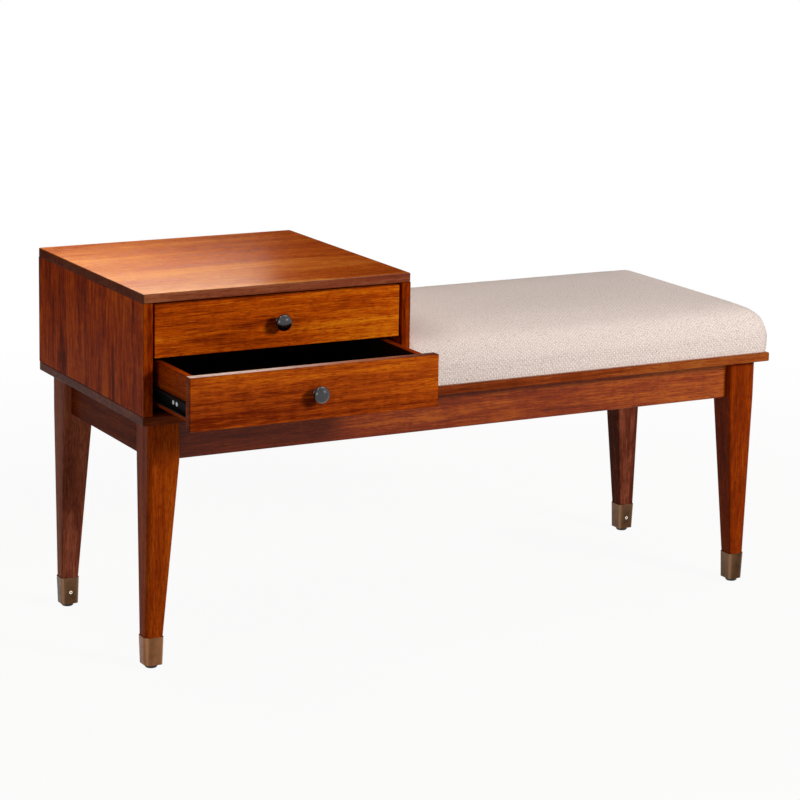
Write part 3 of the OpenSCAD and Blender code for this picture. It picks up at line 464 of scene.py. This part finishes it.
def makeWood(name, look):
    low, high = look["roughness"]
    material, tree, shader = startMaterial(name, {"IOR": 1.5, "Specular IOR Level": look["specular"]})
    coords = addNode(tree, "ShaderNodeTexCoord")
    grain = addNode(
        tree, "ShaderNodeMapping", values={"Location": look["place"], "Rotation": grainTurns[look["axis"]]},
        links={"Vector": coords.outputs["Object"]},
    ).outputs[0]
    layerSizes = {  # length and width in millimetres, detail, roughness and distortion
        "figure": (520, 44, 2, 0.5, 0.8),
        "bands": (190, look["streak"] * 2.2, 3, 0.55, 0.4),
        "fibre": (42, look["streak"] * 0.32, 3, 0.65, 0),  # real fibres are finer and wouldn't show
        "pores": (11, 1.3, 1, 0.5, 0),
        "ripple": (16, 24, 2, 0.5, 0.5),
    }
    layers = {}
    for layer, (length, width, detail, roughness, distortion) in layerSizes.items():
        stretched = addNode(
            tree, "ShaderNodeMapping",
            values={"Scale": (1 / (length * mm), 1 / (width * mm), 1 / (width * mm))}, links={"Vector": grain},
        )
        layers[layer] = addNode(
            tree, "ShaderNodeTexNoise",
            values={"Scale": 1, "Detail": detail, "Roughness": roughness, "Distortion": distortion},
            links={"Vector": stretched.outputs[0]},
        ).outputs["Fac"]
    tilted = addNode(
        tree, "ShaderNodeMapping",
        values={"Rotation": grainLook["ringTilt"], "Scale": grainLook["ringStretch"]}, links={"Vector": grain},
    )
    layers["rings"] = addNode(
        tree, "ShaderNodeTexWave", {"wave_type": "RINGS", "rings_direction": "X", "wave_profile": "SAW"},
        grainLook["rings"], {"Vector": tilted.outputs[0]},
    ).outputs["Fac"]
    # a board grows paler or darker along its length
    along = addNode(tree, "ShaderNodeSeparateXYZ", links={0: coords.outputs["Object"]})
    tone = addNode(
        tree, "ShaderNodeMath", {"operation": "MULTIPLY_ADD"},
        {1: look["drift"], 2: 0.5 - look["drift"] * look["middle"]}, {0: along.outputs["X"]},
    ).outputs[0]
    for layer, share in grainLook["shares"].items():
        centred = addNode(tree, "ShaderNodeMath", {"operation": "SUBTRACT"}, {1: 0.5}, {0: layers[layer]})
        tone = addNode(
            tree, "ShaderNodeMath", {"operation": "MULTIPLY_ADD"},
            {1: share * grainLook["spread"] * look["contrast"]}, {0: centred.outputs[0], 2: tone},
        ).outputs[0]
    ramp = addNode(tree, "ShaderNodeValToRGB", links={"Fac": tone})
    dark, middle, light = (hexToLinear(look[shade]) for shade in ("dark", "mid", "light"))
    setRamp(ramp, [(0.12, dark), (0.5, middle), (0.88, light)])
    poreDepth = addNode(
        tree, "ShaderNodeMapRange", {"interpolation_type": "SMOOTHSTEP"},
        {"From Min": grainLook["poreFrom"], "From Max": grainLook["poreTo"], "To Min": 1, "To Max": 0},
        {"Value": layers["pores"]},
    ).outputs[0]
    poreShare = addNode(
        tree, "ShaderNodeMath", {"operation": "MULTIPLY"}, {1: grainLook["poreShare"]}, {0: poreDepth},
    )
    colour = addNode(
        tree, "ShaderNodeMix", {"data_type": "RGBA"}, {7: dark},
        {0: poreShare.outputs[0], 6: ramp.outputs["Color"]},
    ).outputs[2]
    shades = []
    # stain soaks deeper into the end grain; the narrow faces along the grain are darkened as painted shade, for
    # the less light that falls on them than on the flat
    for axis, start, end, shadeAcross, shadeAlong, tint in (
        (look["axis"], 0.6, 0.9, 0, look["endShade"], grainLook["endTint"]),
        (look["flat"], 0.4, 0.75, look["narrowPaintedShade"], 0, grainLook["narrowShadeTint"]),
    ):
        facing = addNode(
            tree, "ShaderNodeVectorMath", {"operation": "DOT_PRODUCT"}, {1: axisArrows[axis]},
            {0: coords.outputs["Normal"]},
        )
        either = addNode(tree, "ShaderNodeMath", {"operation": "ABSOLUTE"}, links={0: facing.outputs["Value"]})
        share = addNode(
            tree, "ShaderNodeMapRange", links={"Value": either.outputs[0]},
            values={"From Min": start, "From Max": end, "To Min": shadeAcross, "To Max": shadeAlong},
        )
        shades.append((share, tint))
    # the eased edges are darkened, which draws a dark line round each board
    eased = addNode(tree, "ShaderNodeAttribute", {"attribute_name": "easedEdge"})
    edgeShare = addNode(
        tree, "ShaderNodeMath", {"operation": "MULTIPLY"}, {1: grainLook["edgeShare"]},
        {0: eased.outputs["Fac"]},
    )
    shades.append((edgeShare, grainLook["edgeTint"]))
    for share, tint in shades:
        colour = addNode(
            tree, "ShaderNodeMix", {"data_type": "RGBA", "blend_type": "MULTIPLY"}, {7: tint},
            {0: share.outputs[0], 6: colour},
        ).outputs[2]
    tree.links.new(colour, shader.inputs["Base Color"])
    shine = addNode(
        tree, "ShaderNodeMapRange", values={"From Min": 0.3, "From Max": 0.7, "To Min": high, "To Max": low},
        links={"Value": layers["bands"]},
    )
    tree.links.new(shine.outputs[0], shader.inputs["Roughness"])
    height = addNode(
        tree, "ShaderNodeMath", {"operation": "SUBTRACT"}, links={0: layers["fibre"], 1: poreDepth},
    )
    bump = addNode(
        tree, "ShaderNodeBump", values=grainLook["relief"], links={"Height": height.outputs[0]},
    )
    tree.links.new(bump.outputs[0], shader.inputs["Normal"])
    return material


woods = {name: makeWood(name, {**woodBase, **look}) for name, look in woodLooks.items()}


# metals and plastics

# what a metal has where its own row says nothing else
metalBase = {"metallic": 1.0, "specular": 0.5, "roughness": (0.3, 0.4), "coat": 0, "coatRoughness": 0.1}

# speck is the width of its clouds and dent the depth of its grit, in millimetres
metalLooks = {
    # cast zinc, blackened and waxed: nearly black, with the wax coat's small bright highlight
    "blackenedZinc": {
        "base": "#29282c", "spot": "#302f33", "paintedHighlight": "#3a393d", "roughness": (0.3, 0.36),
        "coat": 0.9, "speck": 7.0, "dent": 0.02,
    },
    # drawn brass sleeve, aged in a dark bath: bronze with darker clouds, and a painted highlight down its round
    # corners
    "agedBrass": {
        "base": "#533823", "spot": "#3f2c1c", "paintedHighlight": "#86644a", "roughness": (0.3, 0.42),
        "speck": 14.0, "dent": 0.01,
    },
    # the front left sleeve, a paler copy of the brass: painted light for the brighter reflection that it catches
    "brassPaintedBright": {
        "base": "#7e5133", "spot": "#6a452b", "paintedHighlight": "#9c7150", "speck": 10.0, "dent": 0.01,
    },
    # nickelled brass, polished: the pins' bright rings
    "polishedNickel": {
        "base": "#fbf3e6", "spot": "#e6dccb", "paintedHighlight": "#fbf3e6", "speck": 2.0, "dent": 0.01,
    },
    # rolled steel with black electrophoretic paint
    "blackSteel": {
        "base": "#080809", "spot": "#111112", "paintedHighlight": "#1a1a1b", "metallic": 0.0, "specular": 0.02,
        "roughness": (0.4, 0.5), "speck": 4.0, "dent": 0.04,
    },
    # zinc-plated steel
    "zincSteel": {
        "base": "#d3d4d6", "spot": "#b0b2b5", "paintedHighlight": "#e4e5e6", "roughness": (0.34, 0.46),
        "speck": 2.0, "dent": 0.03,
    },
    # moulded nylon glide
    "mouldedNylon": {
        "base": "#0e0e0f", "spot": "#1b1b1c", "paintedHighlight": "#202021", "metallic": 0.0, "specular": 0.4,
        "roughness": (0.45, 0.6), "speck": 3.0, "dent": 0.08,
    },
}


def makeSpeckled(name, look):
    low, high = look["roughness"]
    material, tree, shader = startMaterial(name, {
        "Metallic": look["metallic"], "Specular IOR Level": look["specular"],
        "Coat Weight": look["coat"], "Coat Roughness": look["coatRoughness"],
    })
    coords = addNode(tree, "ShaderNodeTexCoord")
    clouds = addNode(
        tree, "ShaderNodeTexNoise", values={"Scale": 1 / (look["speck"] * mm), "Detail": 5, "Roughness": 0.65},
        links={"Vector": coords.outputs["Object"]},
    )
    grit = addNode(
        tree, "ShaderNodeTexNoise", values={"Scale": 6 / (look["speck"] * mm), "Detail": 2, "Roughness": 0.6},
        links={"Vector": coords.outputs["Object"]},
    )
    ramp = addNode(tree, "ShaderNodeValToRGB", links={"Fac": clouds.outputs["Fac"]})
    setRamp(ramp, [(0.36, hexToLinear(look["spot"])), (0.6, hexToLinear(look["base"]))])
    # points marked in easedEdge take the paintedHighlight colour: a painted highlight down the ferrules' corners
    eased = addNode(tree, "ShaderNodeAttribute", {"attribute_name": "easedEdge"})
    paintedHighlight = addNode(
        tree, "ShaderNodeMix", {"data_type": "RGBA"}, {7: hexToLinear(look["paintedHighlight"])},
        {0: eased.outputs["Fac"], 6: ramp.outputs["Color"]},
    )
    tree.links.new(paintedHighlight.outputs[2], shader.inputs["Base Color"])
    shine = addNode(
        tree, "ShaderNodeMapRange", values={"From Min": 0.35, "From Max": 0.65, "To Min": high, "To Max": low},
        links={"Value": clouds.outputs["Fac"]},
    )
    tree.links.new(shine.outputs[0], shader.inputs["Roughness"])
    bump = addNode(
        tree, "ShaderNodeBump", values={"Strength": 0.4, "Distance": look["dent"] * mm},
        links={"Height": grit.outputs["Fac"]},
    )
    tree.links.new(bump.outputs[0], shader.inputs["Normal"])
    return material


metals = {name: makeSpeckled(name, {**metalBase, **look}) for name, look in metalLooks.items()}
print("materials ready:", len(woods) + len(metals))


# boards, legs and ferrules: the frame's own solids with eased edges

easingLook = {
    "fold": 25,  # degrees between two faces that make an edge
    "flat": 0.4,  # degrees between two faces that are one
    "boxReach": 3.6,  # a board's outer edges lie this near to two sides of its box, in millimetres
    "longEdge": 12,  # the eased edges of a leg or ferrule are longer than this
    "segments": 4,
    "smoothAngle": 35,
}


def boardEdges(solid):
    low = [min(v.co[i] for v in solid.verts) for i in range(3)]
    high = [max(v.co[i] for v in solid.verts) for i in range(3)]
    found = []
    for edge in solid.edges:
        middle = (edge.verts[0].co + edge.verts[1].co) / 2
        away = [min(middle[i] - low[i], high[i] - middle[i]) for i in range(3)]
        sides = sum(distance < easingLook["boxReach"] * mm for distance in away)
        if sides >= 2 and edge.calc_face_angle(0) >= math.radians(easingLook["fold"]):
            found.append(edge)
    return found


def longEdges(solid):
    return [
        edge for edge in solid.edges
        if edge.calc_length() > easingLook["longEdge"] * mm
        and edge.calc_face_angle(0) > math.radians(easingLook["fold"])
    ]


def easedCopy(nodeName, material, radius, pickEdges, segments=easingLook["segments"]):
    node = nodes[nodeName]
    solid = bmesh.new()
    solid.from_mesh(node.data)
    bmesh.ops.remove_doubles(solid, verts=solid.verts, dist=weld)
    bmesh.ops.dissolve_limit(
        solid, angle_limit=math.radians(easingLook["flat"]), verts=solid.verts, edges=solid.edges,
        use_dissolve_boundaries=False,
    )
    softened = solid.verts.layers.float.new("easedEdge")
    eased = bmesh.ops.bevel(
        solid, geom=pickEdges(solid), offset=radius * mm, offset_type="OFFSET", segments=segments,
        profile=0.5, affect="EDGES", material=-1, clamp_overlap=True,
    )
    rounded = set(eased["faces"])
    for vert in eased["verts"]:
        if all(face in rounded for face in vert.link_faces):
            vert[softened] = 1.0
    return finishPiece(
        solid, nodeName + "_eased", material, node["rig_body"], nodeName, easingLook["smoothAngle"],
    )


easedBoards = {
    "satinTopBoard": {"nodes": ["case_top"], "radius": 1.3},
    "satinDeckBoard": {"nodes": ["deck_board"], "radius": 1.3},
    "satinUpperFront": {"nodes": ["upper_drawer_front"], "radius": 1.0},
    "satinLowerFront": {"nodes": ["lower_drawer_front"], "radius": 1.0},
    "satinSidePanel": {"nodes": ["case_side_left", "case_side_right"], "radius": 0.8},
    "stainedPlyBack": {"nodes": ["case_back"], "radius": 0.5},
    "satinApronLong": {"nodes": ["apron_front", "apron_rear"], "radius": 1.0},
    "endApronPaintedShade": {"nodes": ["apron_left", "apron_right"], "radius": 1.0},
    "stainedBoxShort": {
        "nodes": [f"{level}_drawer_side_{side}" for level in ("upper", "lower") for side in ("left", "right")],
        "radius": 1.2,
    },
    "boxInsidePaintedShade": {"nodes": ["upper_drawer_back", "lower_drawer_back"], "radius": 1.2},
}
boards = {}
for woodName, boardLook in easedBoards.items():
    for boardName in boardLook["nodes"]:
        boards[boardName] = easedCopy(boardName, woods[woodName], boardLook["radius"], boardEdges)

faceLook = {
    "square": 0.9,  # a face looks along an axis when its normal has more than this along it
    "upright": 0.5,  # a face stands upright when its normal has less than this along z
}


def finishFaces(boardName, woodName, chosen):
    mesh = boards[boardName].data
    mesh.materials.append(woods[woodName])
    for face in mesh.polygons:
        face.material_index = int(chosen(face.normal))


# single faces with a finish of their own: the drawer sides within, the case top's edges, and the
# lower front's top edge
# the drawer sides' inner faces take the nearly black painted shade
for level in ("upper", "lower"):
    finishFaces(f"{level}_drawer_side_left", "boxInsidePaintedShade", lambda normal: normal.x > faceLook["square"])
    finishFaces(f"{level}_drawer_side_right", "boxInsidePaintedShade", lambda normal: normal.x < -faceLook["square"])
finishFaces("case_top", "satinTopEdge", lambda normal: abs(normal.z) < faceLook["upright"])
# the lower front's top face takes the painted highlight, palest at its left end
finishFaces("lower_drawer_front", "lipPaintedHighlight", lambda normal: normal.z > faceLook["square"])

legLook = {
    "legRadius": 1.6,
    "ferruleRadius": 0.5,
    "ferruleSegments": 3,
    "paintedHighlightFrom": 0.55,  # share of the way from a ferrule's middle to both its sides where the painted highlight starts
    "paintedHighlightOver": 0.3,
}


def makeLegs(look):
    for end, woodName in (("front", "satinLeg"), ("rear", "rearLegPaintedShade")):
        for side in ("left", "right"):
            easedCopy(f"leg_{end}_{side}", woods[woodName], look["legRadius"], longEdges)
            # the front left sleeve takes the paler brass, as painted light
            brass = metals["brassPaintedBright" if (end, side) == ("front", "left") else "agedBrass"]
            ferrule = f"ferrule_{end}_{side}"
            sleeve = easedCopy(ferrule, brass, look["ferruleRadius"], longEdges, look["ferruleSegments"]).data
            low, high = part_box(ferrule)
            paintedHighlight = sleeve.attributes["easedEdge"].data
            for vert in sleeve.vertices:  # the round corners take a painted highlight, the flats don't
                away = min(abs(2 * vert.co[i] - low[i] - high[i]) / (high[i] - low[i]) for i in (0, 1))
                paintedHighlight[vert.index].value = min(1, max(0, (away - look["paintedHighlightFrom"]) / look["paintedHighlightOver"]))


makeLegs(legLook)
print("boards and legs eased")


# eyelet pins that hold the ferrules

turnedAngle = 50  # degrees between two faces of a turned piece that make an edge

pinLook = {
    # radius and height over the ferrule, from the hole in the head to the tip inside the leg; all sizes
    # are in millimetres
    "profile": [(0, 0.15), (1.1, 0.15), (1.2, 0.95), (1.5, 1.25), (2.1, 1.3), (2.8, 0.9), (3.1, 0.2),
                (3.1, -0.4), (0.8, -0.4), (0.8, -9), (0, -9)],
    "head": 1.3,  # how far the frame's own pin stands out of the ferrule
    "endDepth": 0.2,  # points this near to the end of the frame's pin belong to its end face
    "hole": 1.15,
    "holeReach": 3,
    "steps": 32,
}


def makePins(look):
    loose = bmesh.new()
    loose.from_mesh(nodes["ferrule_pins"].data)
    bmesh.ops.remove_doubles(loose, verts=loose.verts, dist=weld)
    middleY = (cadLow.y + cadHigh.y) / 2
    solid = bmesh.new()
    waiting = set(loose.verts)
    while waiting:
        part, found = set(), [waiting.pop()]
        while found:
            vert = found.pop()
            part.add(vert)
            found += [n for e in vert.link_edges for n in e.verts if n not in part]
        waiting -= part
        inward = 1 if min(v.co.y for v in part) < middleY else -1
        ends = []
        for side in (inward, -inward):
            furthest = max(v.co.y * side for v in part)
            ring = [v.co for v in part if v.co.y * side > furthest - look["endDepth"] * mm]
            ends.append(sum(ring, Vector()) / len(ring))
        out = (ends[0] - ends[1]).normalized()
        root = ends[0] - out * look["head"] * mm
        aside = out.orthogonal().normalized()
        points = [solid.verts.new(root + (aside * r + out * h) * mm) for r, h in look["profile"]]
        line = [solid.edges.new(pair) for pair in zip(points, points[1:])]
        bmesh.ops.spin(
            solid, geom=points + line, cent=root, axis=out, angle=math.tau, steps=look["steps"], use_merge=True,
        )
        # faces inside the head's hole take the black steel as a second finish: painted shade in the hole
        for face in solid.faces:
            spot = face.calc_center_median() - root
            height = spot.dot(out)
            inHead = spot.length < look["holeReach"] * mm and height > 0
            if inHead and (spot - out * height).length < look["hole"] * mm:
                face.material_index = 1
    loose.free()
    bmesh.ops.remove_doubles(solid, verts=solid.verts, dist=weld)
    bmesh.ops.recalc_face_normals(solid, faces=solid.faces)
    pins = finishPiece(
        solid, "ferrule_pins_eyelets", metals["polishedNickel"], "bench", "ferrule_pins",
        turnedAngle,
    )
    # the black steel of the painted shade in the pins' holes
    pins.data.materials.append(metals["blackSteel"])


makePins(pinLook)
print("pins set")


# knobs, turned on a lathe and screwed through the drawer front

knobLook = {
    # radius and distance from the drawer front, in millimetres, from the back plate to the middle of
    # the head
    "profile": [(0, 0), (6.6, 0), (7.4, 0.5), (7.6, 1.2), (7.2, 2.0), (5.9, 3.0), (5.1, 4.6), (4.9, 6.8),
                (5.4, 9.0), (7.0, 10.6), (9.6, 11.7), (12.0, 12.8), (13.2, 14.2), (13.5, 15.8),
                (13.2, 17.6), (12.2, 19.6), (10.2, 21.5), (7.4, 23.0), (3.8, 23.8), (0, 24.0)],
    "steps": 72,
}


def makeKnob(level, look):
    low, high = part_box(f"{level}_knob")
    centre = Vector(((low.x + high.x) / 2, high.y, (low.z + high.z) / 2))
    solid = bmesh.new()
    points = [solid.verts.new(centre + Vector((r * mm, -d * mm, 0))) for r, d in look["profile"]]
    line = [solid.edges.new(pair) for pair in zip(points, points[1:])]
    bmesh.ops.spin(
        solid, geom=points + line, cent=centre, axis=(0, 1, 0), angle=math.tau, steps=look["steps"],
        use_merge=True,
    )
    bmesh.ops.remove_doubles(solid, verts=solid.verts, dist=weld)
    bmesh.ops.recalc_face_normals(solid, faces=solid.faces)
    finishPiece(
        solid, f"{level}_knob_turned", metals["blackenedZinc"], f"{level}_drawer",
        f"{level}_knob", turnedAngle,
    )


for knobLevel in ("upper", "lower"):
    makeKnob(knobLevel, knobLook)
print("knobs turned")


# finishes of the frame's solids that stay as they are, by the record's material slot

plainFinishes = {
    "plain_wood": woods["plainSawnPine"],
    "drawer_box_wood": woods["boxInsidePaintedShade"],
    "black_steel": metals["blackSteel"],
    "bright_steel": metals["zincSteel"],
    "black_plastic": metals["mouldedNylon"],
}
for subpart in frame["record"]["subparts"]:
    finish = plainFinishes.get(subpart["material_slot"])
    if finish is None:
        continue
    node = nodes[subpart["node"]]
    if not node.material_slots:
        node.data.materials.append(finish)
    for materialSlot in node.material_slots:
        materialSlot.material = finish
print("plain solids finished")


# seat: foam under a linen cover, pulled down over the board

seatLook = {
    "corner": 13,  # radius of the upright corners, in millimetres
    "roll": 41,  # radius of the top edge
    "caseRoll": 12,  # smaller beside the case, which presses the foam flat
    "caseCorner": 4,
    "crease": 6,  # how sharply two rolled edges meet at a corner
    "tuck": 3,  # how far the cover turns in at the deck
    "tuckHeight": 16,
    "crown": 10,
    "cornerDrop": (9, 3),  # at the front and at the back
    "dropCrease": 6,
    "inset": 1.5,  # the pad starts smaller, because pressure swells it
    "cell": 8,  # width of one face before the cloth is rounded
    "pressure": 0.4,  # low, with a stiff cloth, so that the sides don't draw in
    "stiffness": 85,
    "bending": 5,
    "quality": 5,
    "frames": 20,
    "cap": 14,  # the most that the cloth's swelling moves a point out
    "sink": 1.5,  # and the most that it moves a point in
    "proud": 1.5,  # the most that the swollen cover stands outside the board's outline
    "steep": 0.4,  # the cover counts as hanging where its normal leans out by more than this
}


def shapeSeat(look):
    low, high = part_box("seat_cover")
    inset = look["inset"] * mm
    size = Vector((
        high.x - low.x - 2 * inset, high.y - low.y - 2 * inset, high.z - low.z - look["crown"] * mm - inset,
    ))
    centre = Vector(((low.x + high.x) / 2, (low.y + high.y) / 2, low.z + size.z / 2))
    solid = bmesh.new()
    bmesh.ops.create_cube(solid, size=1, matrix=Matrix.Diagonal((*size, 1)))
    for axis in range(3):
        run = [e for e in solid.edges if abs(e.verts[0].co[axis] - e.verts[1].co[axis]) > size[axis] / 2]
        cuts = round(size[axis] / (look["cell"] * mm)) - 1
        bmesh.ops.subdivide_edges(solid, edges=run, cuts=cuts, use_grid_fill=True)
    for vert in solid.verts:
        x, y = abs(vert.co.x) - size.x / 2, abs(vert.co.y) - size.y / 2  # zero at the outline, less inside
        rolls = (look["roll" if vert.co.x > 0 else "caseRoll"] * mm, look["roll"] * mm)
        corner = look["corner" if vert.co.x > 0 else "caseCorner"] * mm
        falls = [roll * (1 - math.sqrt(1 - max(0, 1 + edge / roll) ** 2)) for edge, roll in zip((x, y), rolls)]
        fall = (falls[0] ** look["crease"] + falls[1] ** look["crease"]) ** (1 / look["crease"])
        rise = vert.co.z / size.z + 0.5
        vert.co.z = centre.z - size.z / 2 + rise * (size.z - fall)
        away = Vector((max(0, x + corner), max(0, y + corner)))
        if min(away) > 0:
            away *= max(away) / away.length
            vert.co.x = math.copysign(size.x / 2 - corner + away.x, vert.co.x)
            vert.co.y = math.copysign(size.y / 2 - corner + away.y, vert.co.y)
        vert.co.x += centre.x
        vert.co.y += centre.y
    return placeMesh(solid, "linenSeat"), centre, size


def applyModifier(piece, name):
    bpy.context.view_layer.objects.active = piece
    with bpy.context.temp_override(object=piece, active_object=piece, selected_objects=[piece]):
        bpy.ops.object.modifier_apply(modifier=name)


def swellSeat(seat, look):
    rest = [v.co.copy() for v in seat.data.vertices]
    outward = [v.normal.copy() for v in seat.data.vertices]
    lowest = min(p.z for p in rest)
    held = seat.vertex_groups.new(name="held")
    held.add([i for i, p in enumerate(rest) if p.z < lowest + look["tuckHeight"] * mm], 1.0, "REPLACE")
    cloth = seat.modifiers.new("swell", "CLOTH")
    cloth.settings.quality = look["quality"]
    cloth.settings.tension_stiffness = cloth.settings.compression_stiffness = look["stiffness"]
    cloth.settings.shear_stiffness = look["stiffness"] / 2
    cloth.settings.bending_stiffness = look["bending"]
    cloth.settings.use_pressure = True
    cloth.settings.uniform_pressure_force = look["pressure"]
    cloth.settings.vertex_group_mass = "held"
    cloth.settings.effector_weights.gravity = 0
    cloth.collision_settings.use_collision = False
    cloth.point_cache.frame_start, cloth.point_cache.frame_end = 1, look["frames"]
    for frameNumber in range(1, look["frames"] + 1):
        bpy.context.scene.frame_set(frameNumber)
    applyModifier(seat, "swell")
    bpy.context.scene.frame_set(1)
    swell = [(vert.co - start).dot(out) for vert, start, out in zip(seat.data.vertices, rest, outward)]
    print("seat swells by", round(min(swell) / mm, 1), "to", round(max(swell) / mm, 1), "mm")
    for vert, start, out, rise in zip(seat.data.vertices, rest, outward, swell):
        vert.co = start + out * min(max(rise, -look["sink"] * mm), look["cap"] * mm)


def pullSeat(seat, centre, size, look):
    half = size / 2
    low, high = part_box("seat_cover")
    proud = look["proud"] * mm
    swollen = max(v.co.z for v in seat.data.vertices) - centre.z - half.z
    for vert in seat.data.vertices:
        u = (vert.co.x - centre.x) / half.x
        v = (vert.co.y - centre.y) / half.y
        rise = min(1, max(0, (vert.co.z - low.z) / size.z))
        crown = ((look["crown"] + look["inset"]) * mm - swollen) * max(0, 1 - u * u) * max(0, 1 - v * v)
        cornerDrop = look["cornerDrop"][0 if v < 0 else 1] * mm
        drop = cornerDrop * min(1, max(0, u) * abs(v)) ** look["dropCrease"]
        tuck = look["tuck"] * mm * max(0, 1 - (vert.co.z - low.z) / (look["tuckHeight"] * mm)) ** 2
        vert.co.x -= tuck * vert.normal.x
        vert.co.y -= tuck * vert.normal.y
        vert.co.z = max(vert.co.z + (crown - drop) * rise, low.z)
        vert.co.x = min(max(vert.co.x, low.x), high.x + proud)  # flat where it meets the case
        vert.co.y = min(max(vert.co.y, low.y - proud), high.y + proud)


def layWeave(seat, centre, look):
    mesh = seat.data
    top = max(v.co.z for v in mesh.vertices)
    place = []
    for vert in mesh.vertices:
        out = Vector((vert.normal.x, vert.normal.y))
        along = out / max(out.length, look["steep"])
        drop = top - vert.co.z
        place.append((
            vert.co.x - centre.x + along.x * abs(along.x) * drop,
            vert.co.y - centre.y + along.y * abs(along.y) * drop,
        ))
    weave = mesh.uv_layers.new(name="weave")
    for loop in mesh.loops:
        weave.data[loop.index].uv = place[loop.vertex_index]


linenLook = {
    "thread": 3.6,  # in millimetres; a real thread is about 1.2 mm and wouldn't show
    "wander": 1.1,  # how far a thread strays from its line
    "wanderLength": 9,
    "slubScale": 1.9,
    "slubStretch": 0.45,  # a slub is longer along its thread
    "plump": 0.45,
    "weftShade": 0.3,  # the weft is a little darker than the warp
    "yarn": "#f6eae4",
    "slub": "#fdf6f2",
    "shade": "#bfafa8",
    "surface": {"Roughness": 0.88, "Specular IOR Level": 0.2, "Sheen Weight": 0.2, "Sheen Roughness": 0.5},
    "relief": {"Strength": 0.7, "Distance": 0.6 * mm},
}


def makeLinen(look):
    # heathered linen in a basket weave: matt threads over and under, paler slubs, a soft sheen at
    # grazing angles
    material, tree, shader = startMaterial("basketWeaveLinen", look["surface"])
    coords = addNode(tree, "ShaderNodeUVMap", {"uv_map": "weave"})
    wander = addNode(
        tree, "ShaderNodeTexNoise", values={"Scale": 1 / (look["wanderLength"] * mm), "Detail": 2},
        links={"Vector": coords.outputs[0]},
    )
    shift = addNode(
        tree, "ShaderNodeVectorMath", {"operation": "MULTIPLY_ADD"},
        {1: (look["wander"] * mm, look["wander"] * mm, 0)}, {0: wander.outputs["Color"], 2: coords.outputs[0]},
    )
    counted = addNode(
        tree, "ShaderNodeVectorMath", {"operation": "SCALE"}, {"Scale": 1 / (look["thread"] * mm)},
        {0: shift.outputs[0]},
    ).outputs[0]
    threads = addNode(tree, "ShaderNodeSeparateXYZ", links={0: counted})
    rounds = []
    for axis in ("X", "Y"):
        turned = addNode(
            tree, "ShaderNodeMath", {"operation": "MULTIPLY"}, {1: math.pi}, {0: threads.outputs[axis]},
        )
        wave = addNode(tree, "ShaderNodeMath", {"operation": "SINE"}, links={0: turned.outputs[0]})
        ridge = addNode(tree, "ShaderNodeMath", {"operation": "ABSOLUTE"}, links={0: wave.outputs[0]})
        rounds.append(ridge.outputs[0])
    over = addNode(
        tree, "ShaderNodeTexChecker", values={"Scale": 1, "Color1": (1, 1, 1, 1), "Color2": (0, 0, 0, 1)},
        links={"Vector": counted},
    ).outputs["Fac"]
    soft = [
        addNode(tree, "ShaderNodeMath", {"operation": "POWER"}, {1: look["plump"]}, {0: ridge}).outputs[0]
        for ridge in rounds
    ]
    warp = addNode(tree, "ShaderNodeMath", {"operation": "MULTIPLY"}, links={0: rounds[0], 1: soft[1]})
    weft = addNode(tree, "ShaderNodeMath", {"operation": "MULTIPLY"}, links={0: soft[0], 1: rounds[1]})
    height = addNode(
        tree, "ShaderNodeMix", {"data_type": "FLOAT"}, links={0: over, 2: warp.outputs[0], 3: weft.outputs[0]},
    ).outputs[0]
    tones = []
    for scale in ((1, look["slubStretch"], 1), (look["slubStretch"], 1, 1)):
        run = addNode(tree, "ShaderNodeVectorMath", {"operation": "MULTIPLY"}, {1: scale}, {0: counted})
        slubs = addNode(
            tree, "ShaderNodeTexNoise", values={"Scale": look["slubScale"], "Detail": 2},
            links={"Vector": run.outputs[0]},
        )
        tones.append(slubs.outputs["Fac"])
    tone = addNode(
        tree, "ShaderNodeMix", {"data_type": "FLOAT"}, links={0: over, 2: tones[0], 3: tones[1]},
    ).outputs[0]
    ramp = addNode(tree, "ShaderNodeValToRGB", links={"Fac": tone})
    shade, yarn, slub = (hexToLinear(look[colour]) for colour in ("shade", "yarn", "slub"))
    setRamp(ramp, [(0.28, shade), (0.5, yarn), (0.74, slub)])
    # the low places between the threads are darkened towards the shade colour: painted shade in the weave's
    # gaps; the weft takes a little more of that colour, as a darker yarn
    gap = addNode(
        tree, "ShaderNodeMapRange", values={"From Min": 0.05, "From Max": 0.5, "To Min": 0.35, "To Max": 0},
        links={"Value": height},
    )
    darker = addNode(
        tree, "ShaderNodeMath", {"operation": "MULTIPLY_ADD"}, {1: look["weftShade"]},
        {0: over, 2: gap.outputs[0]},
    )
    shaded = addNode(
        tree, "ShaderNodeMix", {"data_type": "RGBA"}, {7: shade},
        {0: darker.outputs[0], 6: ramp.outputs["Color"]},
    )
    tree.links.new(shaded.outputs[2], shader.inputs["Base Color"])
    bump = addNode(tree, "ShaderNodeBump", values=look["relief"], links={"Height": height})
    tree.links.new(bump.outputs[0], shader.inputs["Normal"])
    return material


def makeSeat(look):
    seat, centre, size = shapeSeat(look)
    swellSeat(seat, look)
    pullSeat(seat, centre, size, look)
    layWeave(seat, centre, look)
    seat.data.shade_smooth()
    seat.data.materials.append(makeLinen(linenLook))
    rounder = seat.modifiers.new("rounder", "SUBSURF")
    rounder.levels = rounder.render_levels = 1
    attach(seat, "bench")
    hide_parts("seat_cover", "seat_foam")


makeSeat(seatLook)
print("seat padded")
